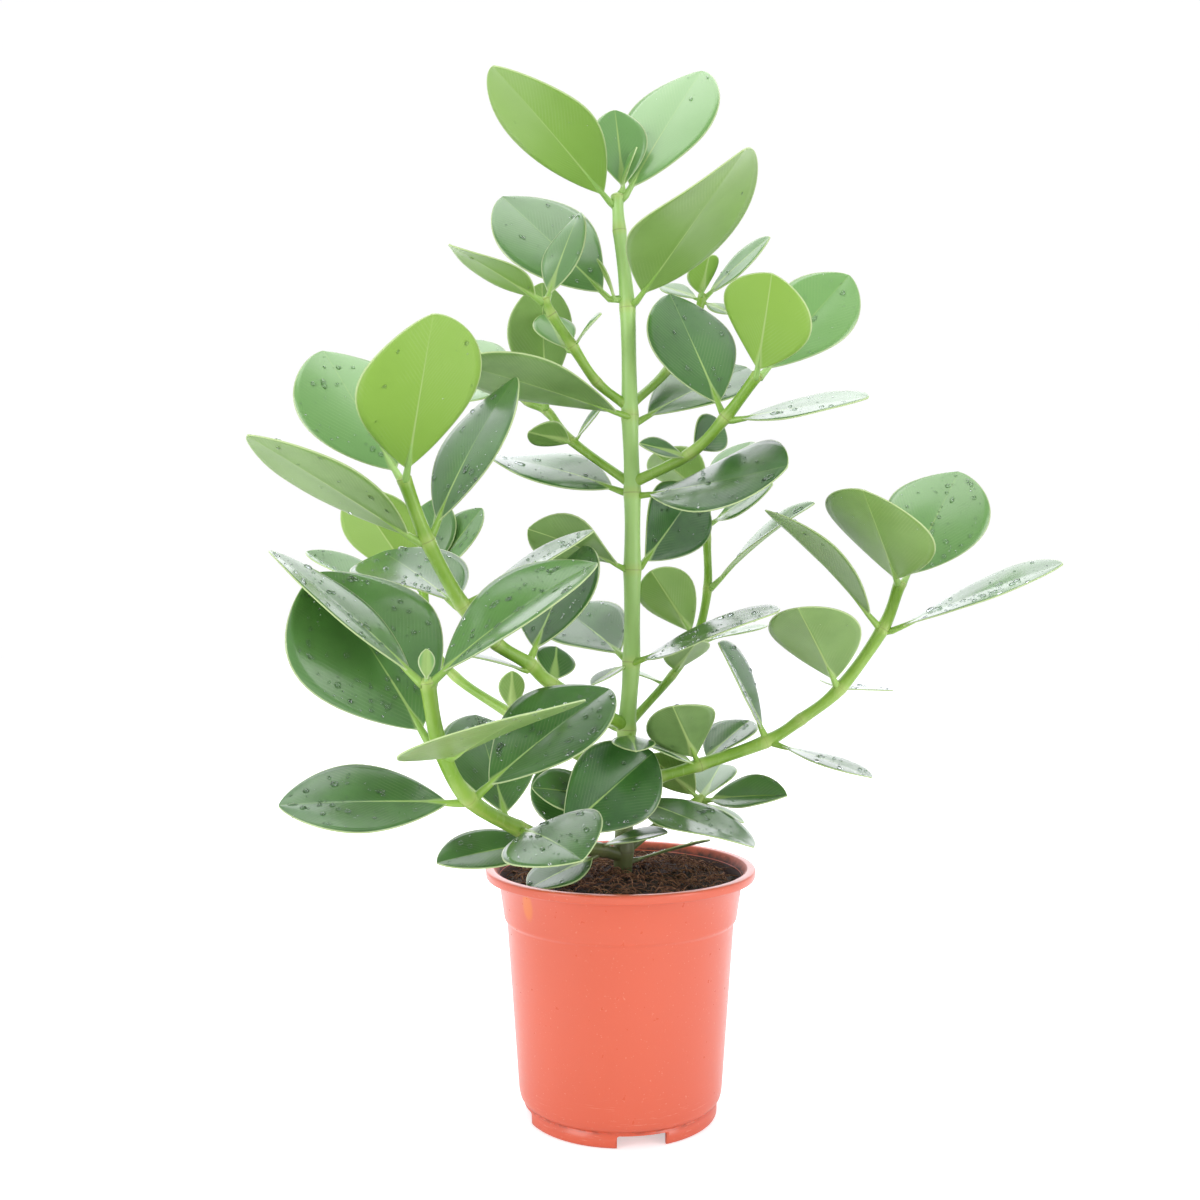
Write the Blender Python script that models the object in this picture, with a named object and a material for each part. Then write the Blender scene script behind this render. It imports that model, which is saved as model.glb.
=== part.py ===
"""Potted clusia: a plastic nursery pot, its peat, the main stem and ten side shoots with their leaves."""

import math

import bmesh
import bpy
from mathutils import Matrix, Vector

MM = 0.001

# Pot, in millimetres: radii and heights of a 17 cm nursery pot
RIM_RADIUS = 85.0
RIM_TOP = 154.0
LIP_HEIGHT = 5.5
LIP_INNER_RADIUS = 79.0
NECK_RADIUS = 77.0
STEP_HEIGHT = 122.0
STEP_OUTER_RADIUS = 73.4
STEP_INNER_RADIUS = 71.6
WALL = 1.6
SHOULDER_RADIUS = 64.0
SHOULDER_Z = 16.0
SHOULDER_ROUND = 4.0
SHOULDER_INSET = 0.9
FOOT_RADIUS = 60.6
FOOT_HEIGHT = 8.0
FOOT_GROOVE = 0.8
FOOT_WALL = 3.0
FLOOR_Z = 6.0
FLOOR_THICKNESS = 2.0
PAD_RADIUS = 14.0
POT_SIDES = 44
NOTCHES = 4
NOTCH_WIDTH = 30.0
NOTCH_HEIGHT = 7.6
NOTCH_HEADING = 281.5
DRAINS = 6
DRAIN_RADIUS = 4.0
DRAIN_CIRCLE = 38.0
HOLE_SIDES = 12

# Peat, in millimetres
SOIL_EDGE_Z = 144.0
SOIL_CROWN = 4.5
SOIL_LUMP = 1.3
SOIL_RINGS = 5
SOIL_SIDES = 24
SEAT_GAP = 0.3

# Leaf shape
STALK_PART = 0.09
CROWN_SKEW = 1.28
CROWN_POWER = 0.66
BLADE_THICKNESS = 1.0
FOOT_HALF_WIDTH = 1.1
TIP_HALF_WIDTH = 0.9
BLADE_STEPS = 7
SMALL_LEAF = 68.0
SMALL_STEPS = 5
STALK_SIDES = 6
STALK_RADIUS = 2.3
STALK_END_RADIUS = 1.0
STALK_END = 0.2
STALK_ROOT = 0.6

# Stems
ROUTE_STEPS = 3
INTERNODE_WAIST = 0.12

# A route row is x, y, z and radius at each joint of the stem. A leaf row is the foot's x, y, z, the length and
# width, then heading, rise and roll, then bend in hundredths of the length, fold and twist: mm and degrees.
SHOOTS = {
    "main_stem": {
        "route": [
            (1, 0, 134, 6.5), (2, 0, 163, 6.6), (3, 0, 203, 6.3), (4, 0, 240, 6.2), (7, 0, 283, 5.8),
            (7.5, 0, 341, 5.8), (7.5, 0, 390, 5.6), (6, 0, 439, 5.6), (4.5, 0, 507, 5.2), (-0.5, 0, 556, 4.4),
            (-2, 0, 578, 4.2),
        ],
        "leaves": [
            (-5, 0, 572, 122, 66, 232, 28, 0, 5, 5, -32),
            (2, 0, 576, 114, 63, 30, 59, 36, 5, 5, -20),
            (2, 1, 580, 56, 38, 145, 84, -44, 7, 14, 0),
            (0, -1, 580, 30, 16, 350, 72, 30, 5, 20, 0),
            (9, -2, 509, 140, 84, 296, 24, 13, 0, 4, 46),
            (-5, 0, 511, 111, 66, 157, 45, -50, 3, 5, 25),
            (-3, -4, 511, 28, 8, 195, 66, 0, 3, 20, 0),
            (7, -3, 437, 122, 58, 207, 15, 13, 6, 5, 16),
            (11, 1, 435, 105, 58, 34, 30, 28, 10, 8, 0),
            (3, 1, 390, 104, 60, 157, 22, -24, 12, 5, 40),
            (11, 0, 388, 114, 74, 319, 3, 34, -5, 5, 26),
            (4, -2, 341, 67, 46, 186, 29, 30, 14, 8, 60),
            (12, 0, 342, 88, 52, 50, 40, 66, 7, 18, -20),
            (8, -3, 282, 115, 62, 316, 20, 23, 6, 5, -14),
            (3, 0, 285, 95, 55, 119, 22, -24, 6, 9, -8),
            (5, 0, 281, 36, 16, 228, -15, 0, 6, 16, 0),
            (6, -3, 237, 40, 27, 274, -5, -3, 6, 6, 4),
            (1, 2, 239, 56, 34, 150, 15, 0, 5, 10, 0),
            (5, -1, 197, 97, 53, 318, -8, 7, 6, 5, -36),
            (0, -2, 195, 62, 37, 209, 14, -40, 6, 8, -5),
            (5, 1, 156, 57, 24, 18, 12, -16, 3, 8, 0),
        ],
    },
    "shoot_low_front_left": {
        "route": [
            (1, 0, 160, 4.6), (-14, -16, 167, 4.6), (-38, -43, 177, 4.8), (-60, -71, 190, 4.8),
            (-85, -112, 214, 4.8), (-97, -139, 246, 4.6), (-102, -150, 280, 4.4),
        ],
        "leaves": [
            (-104, -151, 278, 111, 50, 167, 44, -4, 9, 10, 14),
            (-101, -151, 278, 109, 66, 12, 44, 24, 17, 22, -5),
            (-102, -153, 280, 17, 9, 95, 82, 0, 3, 10, 0),
            (-102, -136, 245, 113, 90, 172, 59, -50, 14, 4, 38),
            (-91, -142, 239, 106, 98, 296, 19, 13, 3, 3, -5),
            (-87, -112, 211, 98, 58, 197, 5, -32, 7, 10, 15),
            (-80, -110, 215, 103, 68, 31, 37, 25, 10, 16, -15),
            (-66, -76, 193, 91, 60, 110, 42, 8, 6, 5, 5),
            (-40, -46, 178, 77, 38, 214, 0, -25, 7, 14, 5),
            (-58, -73, 189, 82, 60, 292, 7, 24, 16, 13, 0),
            (-40, -45, 178, 85, 58, 26, 37, 58, 8, 12, 0),
            (-14, -17, 169, 45, 26, 345, 18, 10, 8, 12, 0),
            (-14, -18, 164, 54, 36, 219, -12, -9, 5, 5, 10),
            (-16, -16, 170, 60, 36, 153, 47, -45, 6, 12, 0),
        ],
    },
    "shoot_left": {
        "route": [
            (3.6, 0, 242, 4.2), (-42, -44, 272, 4.2), (-54, -57, 284, 4.4), (-73, -70, 297, 4.2),
            (-91, -82, 319, 4.6), (-109, -97, 355, 4.4), (-121, -105, 389, 4.2),
        ],
        "leaves": [
            (-120, -106, 387, 109, 72, 288, 45, 18, 2, 3, 14),
            (-122, -104, 387, 101, 67, 147, 53, -40, 3, 3, 40),
            (-112, -97, 353, 117, 60, 222, 28, 5, 3, 4, -10),
            (-107, -96, 357, 110, 60, 36, 67, 9, 14, 5, -25),
            (-94, -81, 318, 89, 74, 131, 26, -5, 7, 4, -30),
            (-90, -81, 319, 86, 44, 347, 31, 22, 4, 6, -6),
            (-54, -56, 287, 88, 64, 58, 54, -8, 6, 4, -40),
            (-55, -58, 280, 42, 22, 220, 17, -13, 6, 10, 5),
            (-41, -42, 272, 33, 26, 86, 42, 24, 6, 4, 0),
        ],
    },
    "shoot_left_back": {
        "route": [
            (3, 0, 207, 3.8), (-34, 13, 226, 3.6), (-72, 25, 248, 3.8), (-109, 40, 271, 3.4),
            (-127, 50, 295, 3.6), (-133, 55, 333, 3.4),
        ],
        "leaves": [
            (-135, 54, 330, 92, 48, 239, 44, 34, 6, 15, -8),
            (-131, 55, 331, 66, 42, 10, 57, 34, 6, 15, 0),
            (-128, 50, 295, 109, 53, 165, 38, -2, 8, 28, -35),
            (-132, 57, 331, 64, 38, 65, 77, 8, 6, 11, 0),
            (-70, 23, 248, 30, 18, 270, 73, 12, 6, 16, 0),
        ],
    },
    "shoot_right": {
        "route": [
            (3, 0, 204, 4.2), (25, 0, 210, 4.2), (51, 5, 217, 4.4), (93, 10, 231, 4.4), (116, 12, 245, 4.0),
            (142, 15, 265, 4.4), (170, 18, 303, 4.4), (182, 20, 333, 4.2),
        ],
        "leaves": [
            (181, 19, 331, 100, 76, 243, 35, -22, 2, 4, 5),
            (184, 21, 332, 98, 68, 36, 54, 37, 5, 4, -35),
            (167, 17, 305, 113, 56, 209, 45, -14, 10, 19, 5),
            (174, 18, 301, 119, 60, 321, 24, 21, 6, 6, 5),
            (140, 14, 266, 90, 60, 241, 38, 7, 6, 20, 5),
            (143, 17, 264, 72, 50, 66, 0, 7, 4, 5, 0),
            (93, 10, 234, 80, 44, 236, 52, -68, 8, 16, 9),
            (98, 9, 230, 71, 40, 321, -10, -3, 5, 3, 0),
            (53, 6, 218, 50, 40, 41, 32, 3, 6, 17, 7),
            (49, 4, 219, 62, 46, 246, 42, 28, 6, 16, -25),
            (48, 3, 217, 40, 20, 209, 26, -30, 7, 21, 7),
        ],
    },
    "shoot_right_back": {
        "route": [
            (6, 0, 244, 3.0), (34, 28, 272, 3.0), (51, 42, 296, 3.2), (60, 57, 329, 3.2),
            (60.5, 67, 364, 3.0), (61.5, 74, 393, 2.8),
        ],
        "leaves": [
            (62, 73, 391, 64, 41, 226, 29, 26, 7, 26, 8),
            (64, 75, 391, 63, 38, 45, 48, 4, 6, 17, 0),
            (63, 65, 374, 62, 38, 306, 24, 51, 6, 14, 13),
            (50, 42, 297, 67, 41, 231, 43, 36, 6, 27, 20),
            (62.5, 56, 330, 90, 42, 330, 45, 23, 14, 18, 16),
            (36, 30, 274, 40, 33, 291, 36, 7, 6, 9, 4),
            (52, 43, 293, 53, 22, 19, 16, 3, 6, 4, 10),
            (30, 26, 267, 36, 20, 165, 20, 0, 6, 10, 0),
        ],
    },
    "shoot_upper_right": {
        "route": [
            (7.4, 0, 396, 3.8), (43, -15, 413, 3.8), (64, -25, 434, 4.0), (83, -33, 459, 3.8),
        ],
        "leaves": [
            (82, -34, 457, 77, 57, 273, 40, -36, 4, 3, 18),
            (84, -32, 457, 92, 52, 15, 49, 62, 6, 8, 0),
            (63, -23, 436, 92, 61, 139, 64, -27, 4, 3, 25),
            (67, -25, 432, 92, 50, 322, 5, 25, 3, 3, -8),
            (44, -14, 415, 32, 27, 33, 38, 80, 6, 15, 0),
            (42, -15, 410, 34, 18, 204, 15, -50, 6, 20, 0),
        ],
    },
    "shoot_upper_right_back": {
        "route": [(6, 0, 445, 3.2), (30, 25, 471, 3.2), (49, 41, 503, 3.2), (56, 46, 526, 3.2)],
        "leaves": [
            (55, 45, 524, 40, 26, 271, 30, 28, 6, 23, 0),
            (57, 46, 524, 60, 28, 318, 34, 58, 6, 3, -8),
            (54, 46, 523, 30, 24, 165, 25, -30, 6, 10, 0),
            (57, 45, 521, 22, 16, 320, -25, 25, 6, 10, 0),
        ],
    },
    "shoot_upper_left": {
        "route": [
            (4, 0, 445, 3.4), (-15, -8, 459, 3.4), (-30, -16, 480, 3.6), (-42.5, -22, 498, 3.2),
            (-47, -24, 507, 3.2),
        ],
        "leaves": [
            (-48, -24, 505, 80, 37, 230, 17, -3, 6, 4, -40),
            (-46, -24, 505, 66, 33, 38, 69, 16, 5, 3, -50),
            (-29, -16, 480, 32, 14, 303, 29, 52, 6, 16, 0),
            (-32, -16, 476, 36, 29, 135, 52, -20, 6, 5, 7),
        ],
    },
    "shoot_upper_left_back": {
        "route": [
            (6, 0, 396, 3.2), (-31, 18, 425, 3.2), (-47, 26, 445, 3.2), (-61, 32, 453, 3.0),
            (-79, 40, 470, 3.0),
        ],
        "leaves": [
            (-30, 17, 423, 34, 26, 212, 12, 33, 6, 16, -7),
            (-29, 17, 425, 32, 14, 312, 40, 58, 6, 16, 0),
            (-48, 25, 446, 81, 48, 260, 74, 37, 6, 20, -25),
            (-79, 41, 468, 56, 36, 125, 42, -10, 6, 10, 0),
            (-80, 39, 467, 50, 30, 240, -20, -15, 6, 8, 0),
        ],
    },
    "shoot_low_right": {
        "route": [(1, 0, 161, 3.4), (26, 13, 178, 3.2), (54, 25, 193, 3.0)],
        "leaves": [
            (52, 25, 192, 46, 34, 194, 43, 45, 6, 12, -10),
            (54, 26, 191, 48, 34, 69, 25, -6, 6, 13, 0),
            (55, 24, 191, 63, 32, 317, 12, 46, 9, 33, -12),
            (54, 24, 190, 30, 18, 340, -20, 0, 6, 10, 0),
        ],
    },
}

# Colours and roughness
TERRACOTTA = (0.78, 0.13, 0.05)
PEAT = (0.030, 0.018, 0.012)
LEAF_GREEN = (0.075, 0.20, 0.045)


def clear_scene():
    for obj in list(bpy.data.objects):
        bpy.data.objects.remove(obj, do_unlink=True)


def new_collection(name):
    collection = bpy.data.collections.new(name)
    bpy.context.scene.collection.children.link(collection)
    return collection


def material(name, color, roughness):
    made = bpy.data.materials.new(name)
    made.use_nodes = True
    shader = made.node_tree.nodes["Principled BSDF"]
    shader.inputs["Base Color"].default_value = (*color, 1.0)
    shader.inputs["Roughness"].default_value = roughness
    shader.inputs["Metallic"].default_value = 0.0
    return made


def mesh_object(name, bm, collection):
    """An object from a bmesh in millimetres, with its faces turned outwards."""
    bmesh.ops.scale(bm, vec=(MM, MM, MM), verts=bm.verts)
    bmesh.ops.recalc_face_normals(bm, faces=bm.faces)
    mesh = bpy.data.meshes.new(name)
    bm.to_mesh(mesh)
    bm.free()
    obj = bpy.data.objects.new(name, mesh)
    collection.objects.link(obj)
    return obj


def apply_modifiers(obj):
    """The object's evaluated mesh takes the place of its mesh and modifiers."""
    graph = bpy.context.evaluated_depsgraph_get()
    finished = bpy.data.meshes.new_from_object(obj.evaluated_get(graph))
    obj.modifiers.clear()
    obj.data = finished


def use_as_cutter(obj):
    obj.hide_render = True
    obj.display_type = "WIRE"


def cut(obj, cutter):
    use_as_cutter(cutter)
    modifier = obj.modifiers.new("cut_" + cutter.name, "BOOLEAN")
    modifier.operation = "DIFFERENCE"
    modifier.solver = "EXACT"
    modifier.object = cutter
    apply_modifiers(obj)


def join_all(obj, collection):
    """One union of the object with everything in the collection, which is then removed."""
    modifier = obj.modifiers.new("join", "BOOLEAN")
    modifier.operation = "UNION"
    modifier.solver = "EXACT"
    modifier.operand_type = "COLLECTION"
    modifier.collection = collection
    apply_modifiers(obj)
    for helper in list(collection.objects):
        bpy.data.objects.remove(helper, do_unlink=True)
    bpy.data.collections.remove(collection)


# Pot
def pot_profile():
    """Radius and height points of the wall: the outer side from the rim down, the foot, then the inner side."""
    lip_bottom = RIM_TOP - LIP_HEIGHT
    foot_inner = FOOT_RADIUS - FOOT_WALL
    step = FOOT_GROOVE / 2
    return [
        (0.0, FLOOR_Z + FLOOR_THICKNESS),
        (foot_inner - 1.0, FLOOR_Z + FLOOR_THICKNESS),
        (SHOULDER_RADIUS - WALL, SHOULDER_Z + 1.0),
        (STEP_INNER_RADIUS - WALL, STEP_HEIGHT - 2.0),
        (STEP_OUTER_RADIUS - WALL, STEP_HEIGHT + 1.0),
        (NECK_RADIUS - WALL, lip_bottom - 1.0),
        (LIP_INNER_RADIUS, RIM_TOP - 0.8),
        (LIP_INNER_RADIUS + 0.8, RIM_TOP),
        (RIM_RADIUS - 1.0, RIM_TOP),
        (RIM_RADIUS, RIM_TOP - 1.2),
        (RIM_RADIUS - 0.3, lip_bottom),
        (NECK_RADIUS, lip_bottom),
        (STEP_OUTER_RADIUS, STEP_HEIGHT + 1.5),
        (STEP_OUTER_RADIUS - 0.6, STEP_HEIGHT),
        (STEP_INNER_RADIUS, STEP_HEIGHT - 1.0),
        (SHOULDER_RADIUS, SHOULDER_Z),
        (SHOULDER_RADIUS - SHOULDER_INSET, SHOULDER_Z - SHOULDER_ROUND),
        (FOOT_RADIUS + step, FOOT_HEIGHT + 1.6),
        (FOOT_RADIUS - step, FOOT_HEIGHT + 0.8),
        (FOOT_RADIUS + step, FOOT_HEIGHT),
        (FOOT_RADIUS, 1.0),
        (FOOT_RADIUS - 1.0, 0.0),
        (foot_inner, 0.0),
        (foot_inner, FLOOR_Z),
        (PAD_RADIUS + 2.0, FLOOR_Z),
        (PAD_RADIUS, 0.0),
        (0.0, 0.0),
    ]


def spun(name, profile, sides, collection):
    """A closed solid of revolution about Z from radius and height points that start and end on the axis."""
    bm = bmesh.new()
    points = [bm.verts.new((radius, 0.0, height)) for radius, height in profile]
    for first, second in zip(points, points[1:]):
        bm.edges.new((first, second))
    bmesh.ops.spin(
        bm, geom=bm.verts[:] + bm.edges[:], cent=(0, 0, 0), axis=(0, 0, 1),
        angle=math.tau, steps=sides, use_merge=True,
    )
    bmesh.ops.remove_doubles(bm, verts=bm.verts, dist=0.0001)
    return mesh_object(name, bm, collection)


def notch_cutter(collection):
    """Blocks that cut the rounded notches through the foot ring, and rods for the drain holes."""
    bm = bmesh.new()
    corner = 2.0
    for index in range(NOTCHES):
        heading = math.radians(NOTCH_HEADING) + index * math.tau / NOTCHES
        made = bmesh.ops.create_cube(bm, size=1.0)["verts"]
        bmesh.ops.scale(bm, vec=(20.0, NOTCH_WIDTH, 2 * NOTCH_HEIGHT), verts=made)
        rims = [
            edge for edge in {edge for vert in made for edge in vert.link_edges}
            if abs(edge.verts[0].co.x - edge.verts[1].co.x) > 1.0
        ]
        bevelled = bmesh.ops.bevel(
            bm, geom=rims, offset=corner, segments=2, profile=0.5, affect="EDGES", material=-1
        )
        block = {vert for face in bevelled["faces"] for vert in face.verts}
        turn = Matrix.Rotation(heading, 4, "Z") @ Matrix.Translation((FOOT_RADIUS - 1.0, 0, 0))
        bmesh.ops.transform(bm, matrix=turn, verts=list(block))
    return mesh_object("foot_notches", bm, collection)


def drain_cutter(collection):
    bm = bmesh.new()
    for index in range(DRAINS):
        heading = index * math.tau / DRAINS
        place = (DRAIN_CIRCLE * math.cos(heading), DRAIN_CIRCLE * math.sin(heading), FLOOR_Z)
        bmesh.ops.create_cone(
            bm, cap_ends=True, segments=HOLE_SIDES, radius1=DRAIN_RADIUS, radius2=DRAIN_RADIUS,
            depth=6 * FLOOR_THICKNESS, matrix=Matrix.Translation(place),
        )
    return mesh_object("drain_holes", bm, collection)


def make_pot(part, helpers):
    pot = spun("pot", pot_profile(), POT_SIDES, part)
    cut(pot, notch_cutter(helpers))
    cut(pot, drain_cutter(helpers))
    pot.data.materials.clear()
    pot.data.materials.append(material("terracotta_plastic", TERRACOTTA, 0.35))
    return pot


# Peat
def soil_height(radius, heading, edge_radius):
    """A low crown with lumps that fade out towards the wall."""
    share = radius / edge_radius
    crown = SOIL_CROWN * math.cos(share * math.pi / 2)
    lumps = math.sin(3 * heading + 5 * share) * math.sin(7 * share + 1.0)
    lumps += 0.6 * math.sin(5 * heading - 9 * share)
    return SOIL_EDGE_Z + crown + SOIL_LUMP * lumps * (1.0 - share ** 4)


def make_soil(part):
    bm = bmesh.new()
    bottom_z = FLOOR_Z + FLOOR_THICKNESS + SEAT_GAP
    side = [
        (FOOT_RADIUS - FOOT_WALL - 1.0 - 2 * SEAT_GAP, bottom_z),
        (SHOULDER_RADIUS - WALL - 2 * SEAT_GAP, SHOULDER_Z + 1.5),
        (STEP_INNER_RADIUS - WALL - 2 * SEAT_GAP, STEP_HEIGHT - 2.5),
    ]
    edge_radius = (STEP_OUTER_RADIUS + NECK_RADIUS) / 2 - WALL - 2 * SEAT_GAP
    rings = []
    headings = [index * math.tau / SOIL_SIDES for index in range(SOIL_SIDES)]
    for radius, height in side:
        rings.append([bm.verts.new((radius * math.cos(a), radius * math.sin(a), height)) for a in headings])
    for ring in range(SOIL_RINGS, 0, -1):
        radius = edge_radius * ring / SOIL_RINGS
        rings.append([
            bm.verts.new((radius * math.cos(a), radius * math.sin(a), soil_height(radius, a, edge_radius)))
            for a in headings
        ])
    for lower, upper in zip(rings, rings[1:]):
        for index in range(SOIL_SIDES):
            after = (index + 1) % SOIL_SIDES
            bm.faces.new((lower[index], lower[after], upper[after], upper[index]))
    bm.faces.new(rings[0])
    crown = bm.verts.new((0, 0, soil_height(0.0, 0.0, edge_radius)))
    for index in range(SOIL_SIDES):
        bm.faces.new((rings[-1][index], rings[-1][(index + 1) % SOIL_SIDES], crown))
    soil = mesh_object("soil", bm, part)
    soil.data.materials.append(material("peat", PEAT, 0.95))
    return soil


# Stems
def smooth_route(route):
    """Catmull-Rom points and radii through the joints of a stem, drawn in a little between two joints."""
    rows = [Vector(row) for row in route]
    rows = [2 * rows[0] - rows[1], *rows, 2 * rows[-1] - rows[-2]]
    found = []
    for index in range(1, len(rows) - 2):
        a, b, c, d = rows[index - 1:index + 3]
        for step in range(ROUTE_STEPS):
            t = step / ROUTE_STEPS
            row = 0.5 * (
                2 * b + (c - a) * t + (2 * a - 5 * b + 4 * c - d) * t * t + (3 * b - a - 3 * c + d) * t ** 3
            )
            waist = 1.0 - INTERNODE_WAIST * math.sin(math.pi * t)
            found.append((*row[:3], row[3] * waist))
    found.append(tuple(rows[-2]))
    return found


def make_stem(name, rows, collection, wider=0.0):
    """A round stem along the rows, as a closed mesh."""
    curve = bpy.data.curves.new(name, "CURVE")
    curve.dimensions = "3D"
    curve.bevel_depth = MM
    curve.bevel_resolution = 2
    curve.use_fill_caps = True
    line = curve.splines.new("POLY")
    line.points.add(len(rows) - 1)
    for point, (x, y, z, radius) in zip(line.points, rows):
        point.co = (x * MM, y * MM, z * MM, 1.0)
        point.radius = radius + wider
    drawn = bpy.data.objects.new(name + "_curve", curve)
    collection.objects.link(drawn)
    graph = bpy.context.evaluated_depsgraph_get()
    bm = bmesh.new()
    mesh = bpy.data.meshes.new_from_object(drawn.evaluated_get(graph))
    bm.from_mesh(mesh)
    bpy.data.meshes.remove(mesh)
    bpy.data.objects.remove(drawn, do_unlink=True)
    bmesh.ops.remove_doubles(bm, verts=bm.verts, dist=0.00001)
    bmesh.ops.scale(bm, vec=(1 / MM, 1 / MM, 1 / MM), verts=bm.verts)
    return mesh_object(name, bm, collection)


# Leaves
def leaf_frame(heading, rise, roll):
    """The leaf's length, side and upward directions."""
    heading, rise, roll = (math.radians(angle) for angle in (heading, rise, roll))
    along = Vector((
        math.cos(rise) * math.cos(heading), math.cos(rise) * math.sin(heading), math.sin(rise)
    ))
    level = Vector((-math.sin(heading), math.cos(heading), 0.0))
    above = along.cross(level)
    side = level * math.cos(roll) + above * math.sin(roll)
    return along, side, above * math.cos(roll) - level * math.sin(roll)


def half_width(t, width):
    blade = max(0.0, min(1.0, (t - STALK_PART) / (1.0 - STALK_PART)))
    crown = max(0.0, math.sin(math.pi * blade ** CROWN_SKEW)) ** CROWN_POWER
    least = FOOT_HALF_WIDTH if t < 0.5 else TIP_HALF_WIDTH
    return max(least, width / 2 * crown)


def leaf_point(row, t, q):
    """The point at share t of the length and q of the half width, -1 to 1."""
    x, y, z, length, width, heading, rise, roll, bend, fold, twist = row
    along, side, above = leaf_frame(heading, rise, roll)
    turn = math.radians(twist) * (t - 0.5)
    side_here = side * math.cos(turn) + above * math.sin(turn)
    above_here = above * math.cos(turn) - side * math.sin(turn)
    half = half_width(t, width)
    across = half * q * math.cos(math.radians(fold))
    lift = half * abs(q) * math.sin(math.radians(fold)) * (1.0 - 0.35 * abs(q))
    drop = bend / 100 * length * t * t
    return Vector((x, y, z)) + along * length * t + side_here * across + above_here * lift - above * drop


def make_blade(name, row, collection):
    """A thin curved plate, split into triangles alike on both faces."""
    steps = SMALL_STEPS if row[3] < SMALL_LEAF else BLADE_STEPS
    bm = bmesh.new()
    bmesh.ops.create_grid(bm, x_segments=steps, y_segments=2, size=1.0)
    for vert in bm.verts:
        share = (vert.co.x + 1.0) / 2
        t = STALK_PART + (1.0 - STALK_PART) * share
        vert.co = leaf_point(row, t, round(vert.co.y))
    bmesh.ops.triangulate(bm, faces=bm.faces)
    bmesh.ops.recalc_face_normals(bm, faces=bm.faces)
    bmesh.ops.solidify(bm, geom=bm.faces[:], thickness=BLADE_THICKNESS)
    return mesh_object(name, bm, collection)


def stalk_root(row, stem_rows):
    """A point inside the stem, towards the leaf's foot from the nearest point of the stem's centre line."""
    foot = Vector(row[:3])
    best = None
    for first, second in zip(stem_rows, stem_rows[1:]):
        start, end = Vector(first[:3]), Vector(second[:3])
        span = end - start
        share = max(0.0, min(1.0, (foot - start).dot(span) / span.length_squared))
        centre = start + span * share
        if best is None or (foot - centre).length < (foot - best[0]).length:
            best = (centre, first[3])
    centre, radius = best
    out = foot - centre
    return centre + out * min(1.0, STALK_ROOT * radius / max(out.length, 0.001))


def make_stalk(name, row, stem_rows, collection, wider=0.0):
    """The leaf stalk, from inside the stem to where it runs into the midrib."""
    start = stalk_root(row, stem_rows)
    end = leaf_point(row, STALK_END, 0)
    way = (end - start).normalized()
    scale = min(1.0, row[3] / 80.0) ** 0.5
    bm = bmesh.new()
    bmesh.ops.create_cone(
        bm, cap_ends=True, segments=STALK_SIDES, radius1=STALK_RADIUS * scale + wider,
        radius2=STALK_END_RADIUS * scale + wider, depth=(end - start).length,
    )
    turn = way.to_track_quat("Z", "Y").to_matrix().to_4x4()
    bmesh.ops.transform(bm, matrix=Matrix.Translation((start + end) / 2) @ turn, verts=bm.verts)
    return mesh_object(name, bm, collection)


def make_shoot(name, shoot, part, leaf_material):
    """A stem with its stalks and blades, joined into one body."""
    stem_rows = smooth_route(shoot["route"])
    stem = make_stem(name, stem_rows, part)
    pieces = new_collection(name + "_pieces")
    for index, row in enumerate(shoot["leaves"]):
        make_blade(f"{name}_blade_{index}", row, pieces)
        make_stalk(f"{name}_stalk_{index}", row, stem_rows, pieces)
    join_all(stem, pieces)
    stem.data.materials.clear()
    stem.data.materials.append(leaf_material)
    return stem


def make_clearance(shoot, collection):
    """The main stem and its leaf stalks, wider by the seat gap, to cut from what they stand in or beside."""
    stem_rows = smooth_route(shoot["route"])
    x, y, z, radius = stem_rows[0]
    clearance = make_stem(
        "stem_clearance", [(x, y, z - SEAT_GAP, radius), *stem_rows[1:]], collection, wider=SEAT_GAP
    )
    pieces = new_collection("clearance_pieces")
    for index, row in enumerate(shoot["leaves"]):
        make_stalk(f"clearance_stalk_{index}", row, stem_rows, pieces, wider=SEAT_GAP)
    join_all(clearance, pieces)
    return clearance


def main():
    clear_scene()
    part = new_collection("potted_clusia")
    helpers = new_collection("cutters")
    make_pot(part, helpers)
    soil = make_soil(part)
    clearance = make_clearance(SHOOTS["main_stem"], helpers)
    cut(soil, clearance)
    for name, shoot in SHOOTS.items():
        leaf_material = material(name + "_green", LEAF_GREEN, 0.35)
        made = make_shoot(name, shoot, part, leaf_material)
        if name != "main_stem":
            cut(made, clearance)
    helpers.hide_render = True


main()
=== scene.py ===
import math
import random

import bmesh
import bpy
from mathutils import Matrix, Vector, noise


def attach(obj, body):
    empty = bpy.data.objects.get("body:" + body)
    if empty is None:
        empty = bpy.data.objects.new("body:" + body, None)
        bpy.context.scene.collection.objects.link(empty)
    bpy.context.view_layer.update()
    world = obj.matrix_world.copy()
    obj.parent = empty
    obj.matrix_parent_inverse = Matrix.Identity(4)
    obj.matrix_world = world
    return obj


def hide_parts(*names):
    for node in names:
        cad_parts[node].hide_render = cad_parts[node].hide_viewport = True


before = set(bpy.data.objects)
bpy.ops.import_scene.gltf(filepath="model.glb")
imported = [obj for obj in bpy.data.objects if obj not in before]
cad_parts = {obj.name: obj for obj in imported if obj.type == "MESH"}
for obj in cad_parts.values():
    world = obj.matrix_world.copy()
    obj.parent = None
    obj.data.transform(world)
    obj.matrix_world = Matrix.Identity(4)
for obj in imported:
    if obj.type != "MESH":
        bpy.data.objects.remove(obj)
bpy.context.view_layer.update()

MM = 0.001

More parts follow.
